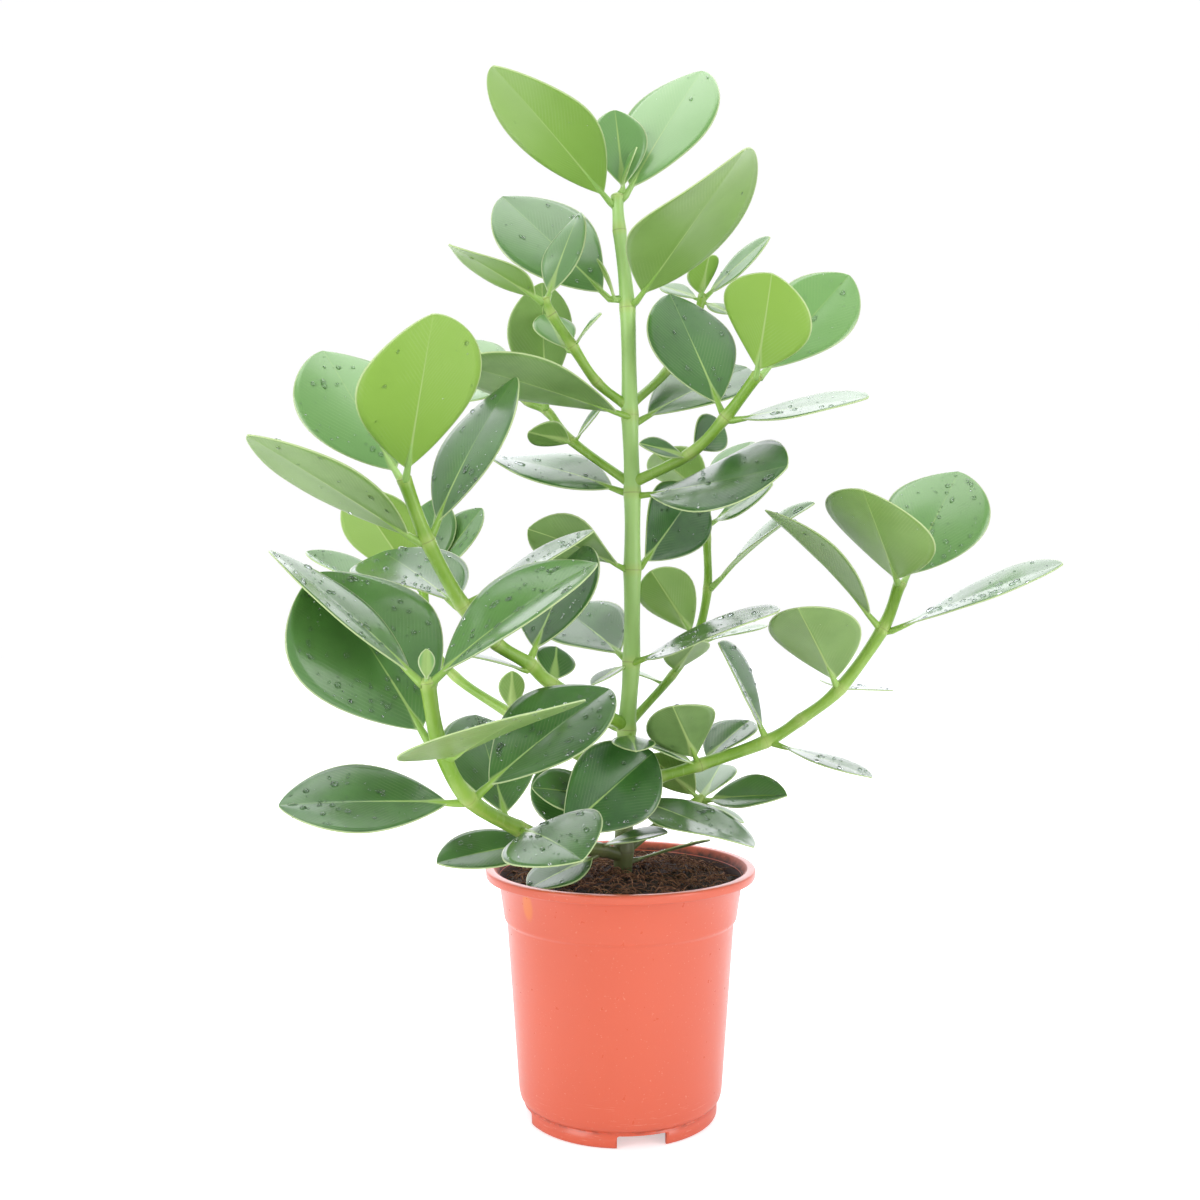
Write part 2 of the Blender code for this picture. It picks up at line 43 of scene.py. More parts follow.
# Leaf, in millimetres: the outline is that of the solids, the rest is finer
STALK_PART = 0.09
CROWN_SKEW = 1.28
CROWN_POWER = 0.66
FOOT_HALF_WIDTH = 1.1
TIP_HALF_WIDTH = 0.9
BLADE_MIDDLE = 1.0
BLADE_EDGE = 0.7
LEAF_STEPS = 34
LEAF_SPOKES = 18
MIDRIB_RIDGE = 1.3
MIDRIB_WIDTH = 1.3
VEIN_SPACING = 3.4
EDGE_RIPPLE = 0.7
SMALL_LEAF = 68.0
SMALL_STEPS = 20
SMALL_SPOKES = 12
FOLD_EASE = 0.35
SPOKE_CROWDING = 1.35
FIRST_STEP = 0.06
RIPPLE_LENGTH = 90
RIB_LENGTH = 80
RIB_ABOVE = 0.15
RIB_BELOW = 0.5
STALK_RADIUS = 2.6
STALK_END_RADIUS = 0.5
STALK_END = 0.3
STALK_SIDES = 12
STALK_SHARES = (0.11, 0.16, 0.22, STALK_END)
STALK_SWELLS = (1.15, 0.95, 0.72, 0.55)
STALK_FLATNESS = 0.85
STALK_DROP = 0.3
FAR_FROM_EDGE = 9.0
FAR_FROM_RING = 99.0

# Stems
ROUTE_STEPS = 9
STEM_SIDES = 20
INTERNODE_WAIST = 0.12
JOINT_SWELL = 0.05
JOINT_REACH = 3.0
TIP_ROUND = 0.5

# Millimetres and degrees. A route row: x, y, z and radius at each joint of the stem
# A leaf row: foot x, y, z, length, width, heading, rise, roll, bend in hundredths of length, fold, twist
SHOOTS = {
    "main_stem": {
        "route": [
            (1, 0, 134, 6.5), (2, 0, 163, 6.6), (3, 0, 203, 6.3), (4, 0, 240, 6.2), (7, 0, 283, 5.8),
            (7.5, 0, 341, 5.8), (7.5, 0, 390, 5.6), (6, 0, 439, 5.6), (4.5, 0, 507, 5.2), (-0.5, 0, 556, 4.4),
            (-2, 0, 578, 4.2),
        ],
        "leaves": [
            (-5, 0, 572, 122, 66, 232, 28, 0, 5, 5, -32),
            (2, 0, 576, 114, 63, 30, 59, 36, 5, 5, -20),
            (2, 1, 580, 56, 38, 145, 84, -44, 7, 14, 0),
            (0, -1, 580, 30, 16, 350, 72, 30, 5, 20, 0),
            (9, -2, 509, 140, 84, 296, 24, 13, 0, 4, 46),
            (-5, 0, 511, 111, 66, 157, 45, -50, 3, 5, 25),
            (-3, -4, 511, 28, 8, 195, 66, 0, 3, 20, 0),
            (7, -3, 437, 122, 58, 207, 15, 13, 6, 5, 16),
            (11, 1, 435, 105, 58, 34, 30, 28, 10, 8, 0),
            (3, 1, 390, 104, 60, 157, 22, -24, 12, 5, 40),
            (11, 0, 388, 114, 74, 319, 3, 34, -5, 5, 26),
            (4, -2, 341, 67, 46, 186, 29, 30, 14, 8, 60),
            (12, 0, 342, 88, 52, 50, 40, 66, 7, 18, -20),
            (8, -3, 282, 115, 62, 316, 20, 23, 6, 5, -14),
            (3, 0, 285, 95, 55, 119, 22, -24, 6, 9, -8),
            (5, 0, 281, 36, 16, 228, -15, 0, 6, 16, 0),
            (6, -3, 237, 40, 27, 274, -5, -3, 6, 6, 4),
            (1, 2, 239, 56, 34, 150, 15, 0, 5, 10, 0),
            (5, -1, 197, 97, 53, 318, -8, 7, 6, 5, -36),
            (0, -2, 195, 62, 37, 209, 14, -40, 6, 8, -5),
            (5, 1, 156, 57, 24, 18, 12, -16, 3, 8, 0),
        ],
    },
    "shoot_low_front_left": {
        "route": [
            (1, 0, 160, 4.6), (-14, -16, 167, 4.6), (-38, -43, 177, 4.8), (-60, -71, 190, 4.8),
            (-85, -112, 214, 4.8), (-97, -139, 246, 4.6), (-102, -150, 280, 4.4),
        ],
        "leaves": [
            (-104, -151, 278, 111, 50, 167, 44, -4, 9, 10, 14),
            (-101, -151, 278, 109, 66, 12, 44, 24, 17, 22, -5),
            (-102, -153, 280, 17, 9, 95, 82, 0, 3, 10, 0),
            (-102, -136, 245, 113, 90, 172, 59, -50, 14, 4, 38),
            (-91, -142, 239, 106, 98, 296, 19, 13, 3, 3, -5),
            (-87, -112, 211, 98, 58, 197, 5, -32, 7, 10, 15),
            (-80, -110, 215, 103, 68, 31, 37, 25, 10, 16, -15),
            (-66, -76, 193, 91, 60, 110, 42, 8, 6, 5, 5),
            (-40, -46, 178, 77, 38, 214, 0, -25, 7, 14, 5),
            (-58, -73, 189, 82, 60, 292, 7, 24, 16, 13, 0),
            (-40, -45, 178, 85, 58, 26, 37, 58, 8, 12, 0),
            (-14, -17, 169, 45, 26, 345, 18, 10, 8, 12, 0),
            (-14, -18, 164, 54, 36, 219, -12, -9, 5, 5, 10),
            (-16, -16, 170, 60, 36, 153, 47, -45, 6, 12, 0),
        ],
    },
    "shoot_left": {
        "route": [
            (3.6, 0, 242, 4.2), (-42, -44, 272, 4.2), (-54, -57, 284, 4.4), (-73, -70, 297, 4.2),
            (-91, -82, 319, 4.6), (-109, -97, 355, 4.4), (-121, -105, 389, 4.2),
        ],
        "leaves": [
            (-120, -106, 387, 109, 72, 288, 45, 18, 2, 3, 14),
            (-122, -104, 387, 101, 67, 147, 53, -40, 3, 3, 40),
            (-112, -97, 353, 117, 60, 222, 28, 5, 3, 4, -10),
            (-107, -96, 357, 110, 60, 36, 67, 9, 14, 5, -25),
            (-94, -81, 318, 89, 74, 131, 26, -5, 7, 4, -30),
            (-90, -81, 319, 86, 44, 347, 31, 22, 4, 6, -6),
            (-54, -56, 287, 88, 64, 58, 54, -8, 6, 4, -40),
            (-55, -58, 280, 42, 22, 220, 17, -13, 6, 10, 5),
            (-41, -42, 272, 33, 26, 86, 42, 24, 6, 4, 0),
        ],
    },
    "shoot_left_back": {
        "route": [
            (3, 0, 207, 3.8), (-34, 13, 226, 3.6), (-72, 25, 248, 3.8), (-109, 40, 271, 3.4),
            (-127, 50, 295, 3.6), (-133, 55, 333, 3.4),
        ],
        "leaves": [
            (-135, 54, 330, 92, 48, 239, 44, 34, 6, 15, -8),
            (-131, 55, 331, 66, 42, 10, 57, 34, 6, 15, 0),
            (-128, 50, 295, 109, 53, 165, 38, -2, 8, 28, -35),
            (-132, 57, 331, 64, 38, 65, 77, 8, 6, 11, 0),
            (-70, 23, 248, 30, 18, 270, 73, 12, 6, 16, 0),
        ],
    },
    "shoot_right": {
        "route": [
            (3, 0, 204, 4.2), (25, 0, 210, 4.2), (51, 5, 217, 4.4), (93, 10, 231, 4.4), (116, 12, 245, 4.0),
            (142, 15, 265, 4.4), (170, 18, 303, 4.4), (182, 20, 333, 4.2),
        ],
        "leaves": [
            (181, 19, 331, 100, 76, 243, 35, -22, 2, 4, 5),
            (184, 21, 332, 98, 68, 36, 54, 37, 5, 4, -35),
            (167, 17, 305, 113, 56, 209, 45, -14, 10, 19, 5),
            (174, 18, 301, 119, 60, 321, 24, 21, 6, 6, 5),
            (140, 14, 266, 90, 60, 241, 38, 7, 6, 20, 5),
            (143, 17, 264, 72, 50, 66, 0, 7, 4, 5, 0),
            (93, 10, 234, 80, 44, 236, 52, -68, 8, 16, 9),
            (98, 9, 230, 71, 40, 321, -10, -3, 5, 3, 0),
            (53, 6, 218, 50, 40, 41, 32, 3, 6, 17, 7),
            (49, 4, 219, 62, 46, 246, 42, 28, 6, 16, -25),
            (48, 3, 217, 40, 20, 209, 26, -30, 7, 21, 7),
        ],
    },
    "shoot_right_back": {
        "route": [
            (6, 0, 244, 3.0), (34, 28, 272, 3.0), (51, 42, 296, 3.2), (60, 57, 329, 3.2),
            (60.5, 67, 364, 3.0), (61.5, 74, 393, 2.8),
        ],
        "leaves": [
            (62, 73, 391, 64, 41, 226, 29, 26, 7, 26, 8),
            (64, 75, 391, 63, 38, 45, 48, 4, 6, 17, 0),
            (63, 65, 374, 62, 38, 306, 24, 51, 6, 14, 13),
            (50, 42, 297, 67, 41, 231, 43, 36, 6, 27, 20),
            (62.5, 56, 330, 90, 42, 330, 45, 23, 14, 18, 16),
            (36, 30, 274, 40, 33, 291, 36, 7, 6, 9, 4),
            (52, 43, 293, 53, 22, 19, 16, 3, 6, 4, 10),
            (30, 26, 267, 36, 20, 165, 20, 0, 6, 10, 0),
        ],
    },
    "shoot_upper_right": {
        "route": [
            (7.4, 0, 396, 3.8), (43, -15, 413, 3.8), (64, -25, 434, 4.0), (83, -33, 459, 3.8),
        ],
        "leaves": [
            (82, -34, 457, 77, 57, 273, 40, -36, 4, 3, 18),
            (84, -32, 457, 92, 52, 15, 49, 62, 6, 8, 0),
            (63, -23, 436, 92, 61, 139, 64, -27, 4, 3, 25),
            (67, -25, 432, 92, 50, 322, 5, 25, 3, 3, -8),
            (44, -14, 415, 32, 27, 33, 38, 80, 6, 15, 0),
            (42, -15, 410, 34, 18, 204, 15, -50, 6, 20, 0),
        ],
    },
    "shoot_upper_right_back": {
        "route": [(6, 0, 445, 3.2), (30, 25, 471, 3.2), (49, 41, 503, 3.2), (56, 46, 526, 3.2)],
        "leaves": [
            (55, 45, 524, 40, 26, 271, 30, 28, 6, 23, 0),
            (57, 46, 524, 60, 28, 318, 34, 58, 6, 3, -8),
            (54, 46, 523, 30, 24, 165, 25, -30, 6, 10, 0),
            (57, 45, 521, 22, 16, 320, -25, 25, 6, 10, 0),
        ],
    },
    "shoot_upper_left": {
        "route": [
            (4, 0, 445, 3.4), (-15, -8, 459, 3.4), (-30, -16, 480, 3.6), (-42.5, -22, 498, 3.2),
            (-47, -24, 507, 3.2),
        ],
        "leaves": [
            (-48, -24, 505, 80, 37, 230, 17, -3, 6, 4, -40),
            (-46, -24, 505, 66, 33, 38, 69, 16, 5, 3, -50),
            (-29, -16, 480, 32, 14, 303, 29, 52, 6, 16, 0),
            (-32, -16, 476, 36, 29, 135, 52, -20, 6, 5, 7),
        ],
    },
    "shoot_upper_left_back": {
        "route": [
            (6, 0, 396, 3.2), (-31, 18, 425, 3.2), (-47, 26, 445, 3.2), (-61, 32, 453, 3.0),
            (-79, 40, 470, 3.0),
        ],
        "leaves": [
            (-30, 17, 423, 34, 26, 212, 12, 33, 6, 16, -7),
            (-29, 17, 425, 32, 14, 312, 40, 58, 6, 16, 0),
            (-48, 25, 446, 81, 48, 260, 74, 37, 6, 20, -25),
            (-79, 41, 468, 56, 36, 125, 42, -10, 6, 10, 0),
            (-80, 39, 467, 50, 30, 240, -20, -15, 6, 8, 0),
        ],
    },
    "shoot_low_right": {
        "route": [(1, 0, 161, 3.4), (26, 13, 178, 3.2), (54, 25, 193, 3.0)],
        "leaves": [
            (52, 25, 192, 46, 34, 194, 43, 45, 6, 12, -10),
            (54, 26, 191, 48, 34, 69, 25, -6, 6, 13, 0),
            (55, 24, 191, 63, 32, 317, 12, 46, 9, 33, -12),
            (54, 24, 190, 30, 18, 340, -20, 0, 6, 10, 0),
        ],
    },
}


# How far the stems are painted pale towards the tip: painted light that makes up for the shade the main stem
# stands in among the leaves
TRUNK_PAINTED_LIGHT = 0.75
SHOOT_PAINTED_LIGHT = 0.0

# How far each leaf is painted towards the young lime green, 0 to 1, in the order of the rows. The lime is
# partly the young leaves' own colour and partly painted backlight shining through the blade
YOUNG_AND_BACKLIT_TONES = {
    "main_stem": (
        0.8, 0.9, 0.7, 0.8, 0.5, 0.35, 0.9, 0.15, 0.1, 0.1, 0,
        0.2, 0, 0.05, 0.1, 0.1, 0.1, 0.1, 0.05, 0.05, 0.1,
    ),
    "shoot_low_front_left": (0.25, 0.35, 0.9, 0.3, 0.3, 0.1, 0.1, 0.15, 0.1, 0.1, 0, 0.05, 0.05, 0.05),
    "shoot_left": (1.0, 0.85, 0.35, 0.2, 0.15, 0.15, 0.05, 0.1, 0.1),
    "shoot_left_back": (0.8, 0.5, 0.4, 0.4, 0.4),
    "shoot_right": (0.45, 0.75, 0.2, 0.2, 0.3, 0.1, 0.1, 0.1, 0.1, 0.1, 0.1),
    "shoot_right_back": (0.5,) * 8,
    "shoot_upper_right": (1.0, 1.0, 0.15, 0.3, 0.1, 0.1),
    "shoot_upper_right_back": (0.9, 0.6, 0.5, 0.5),
    "shoot_upper_left": (0.6, 0.5, 0.6, 0.7),
    "shoot_upper_left_back": (0.3, 0.3, 0.4, 0.8, 0.8),
    "shoot_low_right": (0.3,) * 4,
}

# Water drops: heights between which the leaves dry, the least share of drops, and leaf area for each drop
DRY_ABOVE = 560.0
WET_BELOW = 280.0
DRY_SHARE = 0.18
LEAF_AREA_PER_DROP = 58.0
DRY_LEAF_LENGTH = 50
DROP_LEAST = 0.34
DROP_SPREAD = 1.4
ROUND_DROP = 0.9
UPPER_SHARE = 0.85
UNDER_SIZE = 0.7
RUN_SHARE = 0.2
DROP_FLATNESS = 0.62

# Pot, in millimetres: sizes as in the solids, with more sides and rounder edges
RIM_RADIUS = 85.0
RIM_TOP = 154.0
LIP_HEIGHT = 5.5
LIP_INNER_RADIUS = 79.0
NECK_RADIUS = 77.0
STEP_HEIGHT = 122.0
STEP_OUTER_RADIUS = 73.4
STEP_INNER_RADIUS = 71.6
WALL = 1.6
SHOULDER_RADIUS = 64.0
SHOULDER_Z = 16.0
SHOULDER_ROUND = 4.0
SHOULDER_INSET = 0.9
FOOT_RADIUS = 60.6
FOOT_HEIGHT = 8.0
FOOT_GROOVE = 0.8
FOOT_WALL = 3.0
FLOOR_Z = 6.0
FLOOR_THICKNESS = 2.0
PAD_RADIUS = 14.0
POT_SIDES = 144
LIP_ROUND = 1.3
LIP_TURN = 20
NOTCHES = 4
NOTCH_WIDTH = 30.0
NOTCH_HEIGHT = 7.6
NOTCH_CORNER = 1.4
NOTCH_DEPTH = 20.0
NOTCH_HEADING = 281.5
DRAINS = 6
DRAIN_RADIUS = 4.0
DRAIN_CIRCLE = 38.0
DRAIN_SIDES = 28

# Peat, in millimetres. Lumps are given as spread and height
SOIL_EDGE_Z = 144.0
SOIL_CROWN = 4.5
SOIL_LUMP = 1.3
SOIL_SIDES = 180
SOIL_RINGS = 64
SOIL_SEAT = 0.3
COARSE_LUMPS = (9.0, 1.5)
FINE_LUMPS = (2.6, 0.9)
CRUMBS = 620
CRUMB_LEAST = 0.5
CRUMB_SPREAD = 1.5
FIBRES = 900
FIBRE_STEPS = 6
FIBRE_SIDES = 5
FIBRE_MARGIN = 6.0

# Leaf colours, in linear light: dark, light, young lime (partly the young leaves' own colour, partly painted
# backlight shining through), midrib and margin
UPPER_COLOURS = (
    (0.026, 0.105, 0.016), (0.052, 0.17, 0.030), (0.21, 0.44, 0.12), (0.36, 0.54, 0.15), (0.56, 0.68, 0.34),
)
UNDER_COLOURS = (
    (0.14, 0.25, 0.075), (0.20, 0.34, 0.11), (0.29, 0.50, 0.075), (0.44, 0.60, 0.20), (0.56, 0.70, 0.32),
)
UPPER_RIB_RUN = (35.0, 72.0)
UNDER_RIB_RUN = (60.0, 105.0)

# Stem colours, in linear light, and the heights in metres between which the old bark browns
STEM_DARK = (0.22, 0.42, 0.035)
STEM_LIGHT = (0.30, 0.50, 0.07)
# The pale green is painted light, up the main stem and on the stalks of leaves painted as backlit
STEM_PALE_PAINTED_LIGHT = (0.48, 0.74, 0.26)
STEM_STREAK = (0.42, 0.60, 0.17)
STEM_JOINT = (0.46, 0.60, 0.16)
STEM_SCAR = (0.16, 0.13, 0.045)
STEM_BARK = (0.13, 0.12, 0.07)
BARK_TOP = 0.215
BARK_FULL = 0.180

# Pot colours, in linear light, and the place in metres of the orange glow of light painted on the wall, with
# its height halved
POT_DARK = (0.725, 0.122, 0.056)
POT_LIGHT = (0.765, 0.136, 0.066)
POT_SCUFF = (0.95, 0.45, 0.33)
POT_DUST = (0.95, 0.55, 0.40)
POT_DIRT = (0.22, 0.07, 0.05)
POT_PAINTED_GLOW = (0.80, 0.20, 0.012)
POT_INSIDE_DARK = (0.060, 0.022, 0.015)
GLOW_SQUASH = (1.0, 1.0, 0.5)
GLOW_PLACE = (-0.0560, -0.0512, 0.0700)
GLOW_EDGE = 0.0058
GLOW_CORE = 0.0026
GLOW_STRENGTH = 0.75

# Heights and radii on the pot where its marks begin and end, in metres
SCUFF_TOP = 0.04
GROOVE_BOTTOM = (0.0075, 0.0088)
GROOVE_TOP = (0.0115, 0.0098)
WALL_MIDDLE_Z = 0.1235
WALL_MIDDLE_RADIUS = 0.0726
WALL_SLOPE = 0.144
LIP_BEGINS = (0.1488, 0.1502)
LIP_WIDENS = 0.003
INSIDE_FROM = 0.135
INSIDE_DARK_HEIGHTS = (0.1575, 0.1520)

# Peat and fibre colours, in linear light: dark and light
BED_COLOURS = ((0.024, 0.013, 0.010), (0.105, 0.060, 0.046))
CRUMB_COLOURS = ((0.028, 0.015, 0.011), (0.125, 0.070, 0.052))
FIBRE_COLOURS = ((0.11, 0.045, 0.025), (0.46, 0.235, 0.13))

# Camera and light: strengths of the room in front of the plant and behind it
LENS = 38.1
ROOM_FRONT = 0.5
ROOM_BACK = 0.95
CAMERA_PLACE = (-0.0129, -0.805, 0.322)
SENSOR_WIDTH = 36.0
FLOOR_RADIUS = 7.0
FLOOR_DROP = 0.0002
SEEN_BACK = 1.02
FLOOR_GLOW = 0.05
SEEN_FLOOR_GLOW = 0.45
ROOM_COLOUR = (0.93, 0.93, 1.0)
SEEN_COLOUR = (0.99, 0.985, 1.0)
PAPER_DARK = (0.90, 0.90, 0.91)
PAPER_LIGHT = (0.93, 0.93, 0.94)

# Softboxes: name, place and target in metres, width and height, power in watts and colour
SOFTBOXES = (
    ("back_softbox", (0.0, 1.7, 1.1), (0, 0, 0.35), (2.6, 1.8), 20.0, (0.96, 0.95, 1.0)),
    ("top_softbox", (-0.1, 0.1, 1.8), (0, 0, 0.3), (1.6, 1.2), 12.0, (1.0, 1.0, 1.0)),
    ("left_softbox", (-1.3, -1.1, 0.7), (0, 0, 0.25), (0.8, 1.4), 12.0, (1.0, 1.0, 1.0)),
    ("right_softbox", (1.3, -1.0, 0.7), (0, 0, 0.25), (0.7, 1.4), 10.0, (1.0, 1.0, 1.0)),
)


# Mesh helpers
def new_piece(name, bm, materials, node):
    """A finished mesh in millimetres becomes a piece that rides on the root. It may stand for a solid."""
    bmesh.ops.scale(bm, vec=(MM, MM, MM), verts=bm.verts)
    bmesh.ops.recalc_face_normals(bm, faces=bm.faces)
    for face in bm.faces:
        face.smooth = True
    mesh = bpy.data.meshes.new(name)
    bm.to_mesh(mesh)
    bm.free()
    for made in materials:
        mesh.materials.append(made)
    obj = bpy.data.objects.new(name, mesh)
    bpy.context.scene.collection.objects.link(obj)
    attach(obj, "root")
    if node:
        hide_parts(node)
    return obj


def grid(bm, rows, columns):
    """A sheet of rows by columns of cells. Returns its vertices by (row, column)."""
    made = bmesh.ops.create_grid(bm, x_segments=rows, y_segments=columns, size=1.0)["verts"]
    return {
        (round((vert.co.x + 1) / 2 * rows), round((vert.co.y + 1) / 2 * columns)): vert for vert in made
    }


def tube(bm, rings, sides, material=0, values=None):
    """A closed round body through rings of (centre, radius, flatness). Its ends are drawn to a point."""
    before = set(bm.faces)
    verts = grid(bm, len(rings) - 1, sides)
    centres = [Vector(ring[0]) for ring in rings]
    side = None
    for row, (centre, radius, flat) in enumerate(rings):
        ahead = centres[min(row + 1, len(rings) - 1)] - centres[max(row - 1, 0)]
        if ahead.length < 0.0001:
            ahead = centres[min(row + 2, len(rings) - 1)] - centres[max(row - 2, 0)]
        ahead.normalize()
        if side is None:
            side = ahead.orthogonal().normalized()
        side = (side - ahead * side.dot(ahead)).normalized()
        other = ahead.cross(side)
        for column in range(sides + 1):
            angle = math.tau * (column % sides) / sides
            vert = verts[row, column]
            vert.co = Vector(centre) + radius * (side * math.cos(angle) + other * flat * math.sin(angle))
            if values:
                for layer, found in values.items():
                    vert[layer] = found[row]
    for face in set(bm.faces) - before:
        face.material_index = material
    mine = list(verts.values())
    bmesh.ops.remove_doubles(bm, verts=mine, dist=0.00002)


# Leaf form
def leaf_frame(heading, rise, roll):
    """The leaf's length, side and upward directions."""
    heading, rise, roll = (math.radians(angle) for angle in (heading, rise, roll))
    along = Vector((
        math.cos(rise) * math.cos(heading), math.cos(rise) * math.sin(heading), math.sin(rise)
    ))
    level = Vector((-math.sin(heading), math.cos(heading), 0.0))
    above = along.cross(level)
    side = level * math.cos(roll) + above * math.sin(roll)
    return along, side, above * math.cos(roll) - level * math.sin(roll)


def half_width(t, width):
    blade = max(0.0, min(1.0, (t - STALK_PART) / (1.0 - STALK_PART)))
    crown = max(0.0, math.sin(math.pi * blade ** CROWN_SKEW)) ** CROWN_POWER
    least = FOOT_HALF_WIDTH if t < 0.5 else TIP_HALF_WIDTH
    return max(least, width / 2 * crown)


def leaf_point(row, t, q):
    """The point at share t of the length and q of the half width, -1 to 1."""
    x, y, z, length, width, heading, rise, roll, bend, fold, twist = row
    along, side, above = leaf_frame(heading, rise, roll)
    turn = math.radians(twist) * (t - 0.5)
    side_here = side * math.cos(turn) + above * math.sin(turn)
    above_here = above * math.cos(turn) - side * math.sin(turn)
    half = half_width(t, width)
    across = half * q * math.cos(math.radians(fold))
    lift = half * abs(q) * math.sin(math.radians(fold)) * (1.0 - FOLD_EASE * abs(q))
    drop = bend / 100 * length * t * t
    return Vector((x, y, z)) + along * length * t + side_here * across + above_here * lift - above * drop


def leaf_normal(row, t, q):
    low, high = max(STALK_PART, t - 0.02), min(1.0, t + 0.02)
    forward = leaf_point(row, high, q) - leaf_point(row, low, q)
    across = leaf_point(row, t, min(1.0, q + 0.1)) - leaf_point(row, t, max(-1.0, q - 0.1))
    return forward.cross(across).normalized()


class Fields:
    """The values that a leafy mesh carries at its points for the materials."""

    def __init__(self, bm):
        layers = bm.verts.layers.float
        names = ("leaf_along", "leaf_across", "leaf_edge", "leaf_tone", "leaf_seed", "stem_ring")
        for name in names:
            layers.new(name)
        self.along, self.across, self.edge, self.tone, self.seed, self.ring = (layers[name] for name in names)


def blade(bm, fields, row, seed, tone):
    """A leaf blade with an upper and an under skin, its midrib and a gently rippled margin."""
    length, width = row[3], row[4]
    small = length < SMALL_LEAF
    steps = SMALL_STEPS if small else LEAF_STEPS
    spokes = SMALL_SPOKES if small else LEAF_SPOKES
    before = set(bm.faces)
    verts = grid(bm, steps, spokes)
    faces = list(set(bm.faces) - before)
    made = bmesh.ops.extrude_face_region(bm, geom=faces)["geom"]
    lifted = [item for item in made if isinstance(item, bmesh.types.BMVert)]
    by_place = {(round((v.co.x + 1) / 2 * steps), round((v.co.y + 1) / 2 * spokes)): v for v in lifted}
    upper_faces = {item for item in made if isinstance(item, bmesh.types.BMFace)}
    drift = Vector((seed * 3.7, seed * 1.3, seed * 0.7))
    for (i, j), vert in verts.items():
        share = i / steps
        if 0 < i < steps:
            share = 0.5 - 0.5 * math.cos(math.pi * (FIRST_STEP + (1.0 - FIRST_STEP) * share))
        t = STALK_PART + (1.0 - STALK_PART) * share
        s = 2 * j / spokes - 1
        q = math.copysign(abs(s) ** SPOKE_CROWDING, s)
        half = half_width(t, width)
        normal = leaf_normal(row, t, q)
        wave = noise.noise(Vector((t * 4.0, q * 1.6, 0.0)) + drift)
        ripple = wave * EDGE_RIPPLE * abs(q) * min(1.0, length / RIPPLE_LENGTH)
        centre = leaf_point(row, t, q) + normal * ripple
        thick = BLADE_MIDDLE + (BLADE_EDGE - BLADE_MIDDLE) * q * q
        x = half * q
        taper = max(0.0, 1.0 - t) ** 0.8
        rib = math.exp(-(x / (MIDRIB_WIDTH * (0.4 + taper))) ** 2) * taper * min(1.0, length / RIB_LENGTH)
        top = by_place[i, j]
        top.co = centre + normal * (thick / 2 + RIB_ABOVE * rib)
        vert.co = centre - normal * (thick / 2 + MIDRIB_RIDGE * RIB_BELOW * rib)
        for v in (top, vert):
            v[fields.along] = t * length
            v[fields.across] = x
            v[fields.edge] = half - abs(x) if 0.001 < share < 0.999 else 0.0
            v[fields.tone] = tone
            v[fields.seed] = seed
            v[fields.ring] = FAR_FROM_RING
    for face in set(bm.faces) - before:
        face.material_index = 0 if face in upper_faces else 1


def stalk(bm, fields, row, stem_rows, seed, tone):
    """A thick leaf stalk that clasps the stem and runs out along the midrib under the blade."""
    foot = Vector(row[:3])
    near = min(stem_rows, key=lambda point: (Vector(point[:3]) - foot).length)
    centre, stem_radius = Vector(near[:3]), near[3]
    out = foot - centre
    start = centre + out * min(1.0, 0.55 * stem_radius / max(out.length, 0.001))
    scale = min(1.0, row[3] / RIB_LENGTH) ** 0.5
    knots = [start, foot.lerp(leaf_point(row, 0.06, 0), 0.4)]
    for t in STALK_SHARES:
        knots.append(leaf_point(row, t, 0) - leaf_normal(row, t, 0) * STALK_DROP)
    radii = [STALK_RADIUS * swell for swell in STALK_SWELLS] + [1.0, STALK_END_RADIUS]
    rings = [(knots[0], 0.0, 1.0)]
    for knot, radius in zip(knots, radii):
        rings.append((knot, radius * scale, STALK_FLATNESS))
    rings.append((knots[-1], 0.0, 1.0))
    count = len(rings)
    values = {
        fields.along: [0.0] * count, fields.across: [0.0] * count, fields.edge: [FAR_FROM_EDGE] * count,
        fields.tone: [tone * 0.6] * count, fields.seed: [seed] * count,
        fields.ring: [2.0 + 2.0 * n for n in range(count)],
    }
    tube(bm, rings, STALK_SIDES, material=2, values=values)


# Stems
def smooth_route(route, steps):
    """Catmull-Rom points, radii and distances to the nearest joint, drawn in a little between two joints."""
    rows = [Vector(row) for row in route]
    rows = [2 * rows[0] - rows[1], *rows, 2 * rows[-1] - rows[-2]]
    found = []
    for index in range(1, len(rows) - 2):
        a, b, c, d = rows[index - 1:index + 3]
        span = (c - b).length
        for step in range(steps):
            t = step / steps
            row = 0.5 * (
                2 * b + (c - a) * t + (2 * a - 5 * b + 4 * c - d) * t * t + (3 * b - a - 3 * c + d) * t ** 3
            )
            waist = 1.0 - INTERNODE_WAIST * math.sin(math.pi * t)
            found.append((*row[:3], row[3] * waist, min(t, 1.0 - t) * span))
    found.append((*rows[-2], 0.0))
    return found


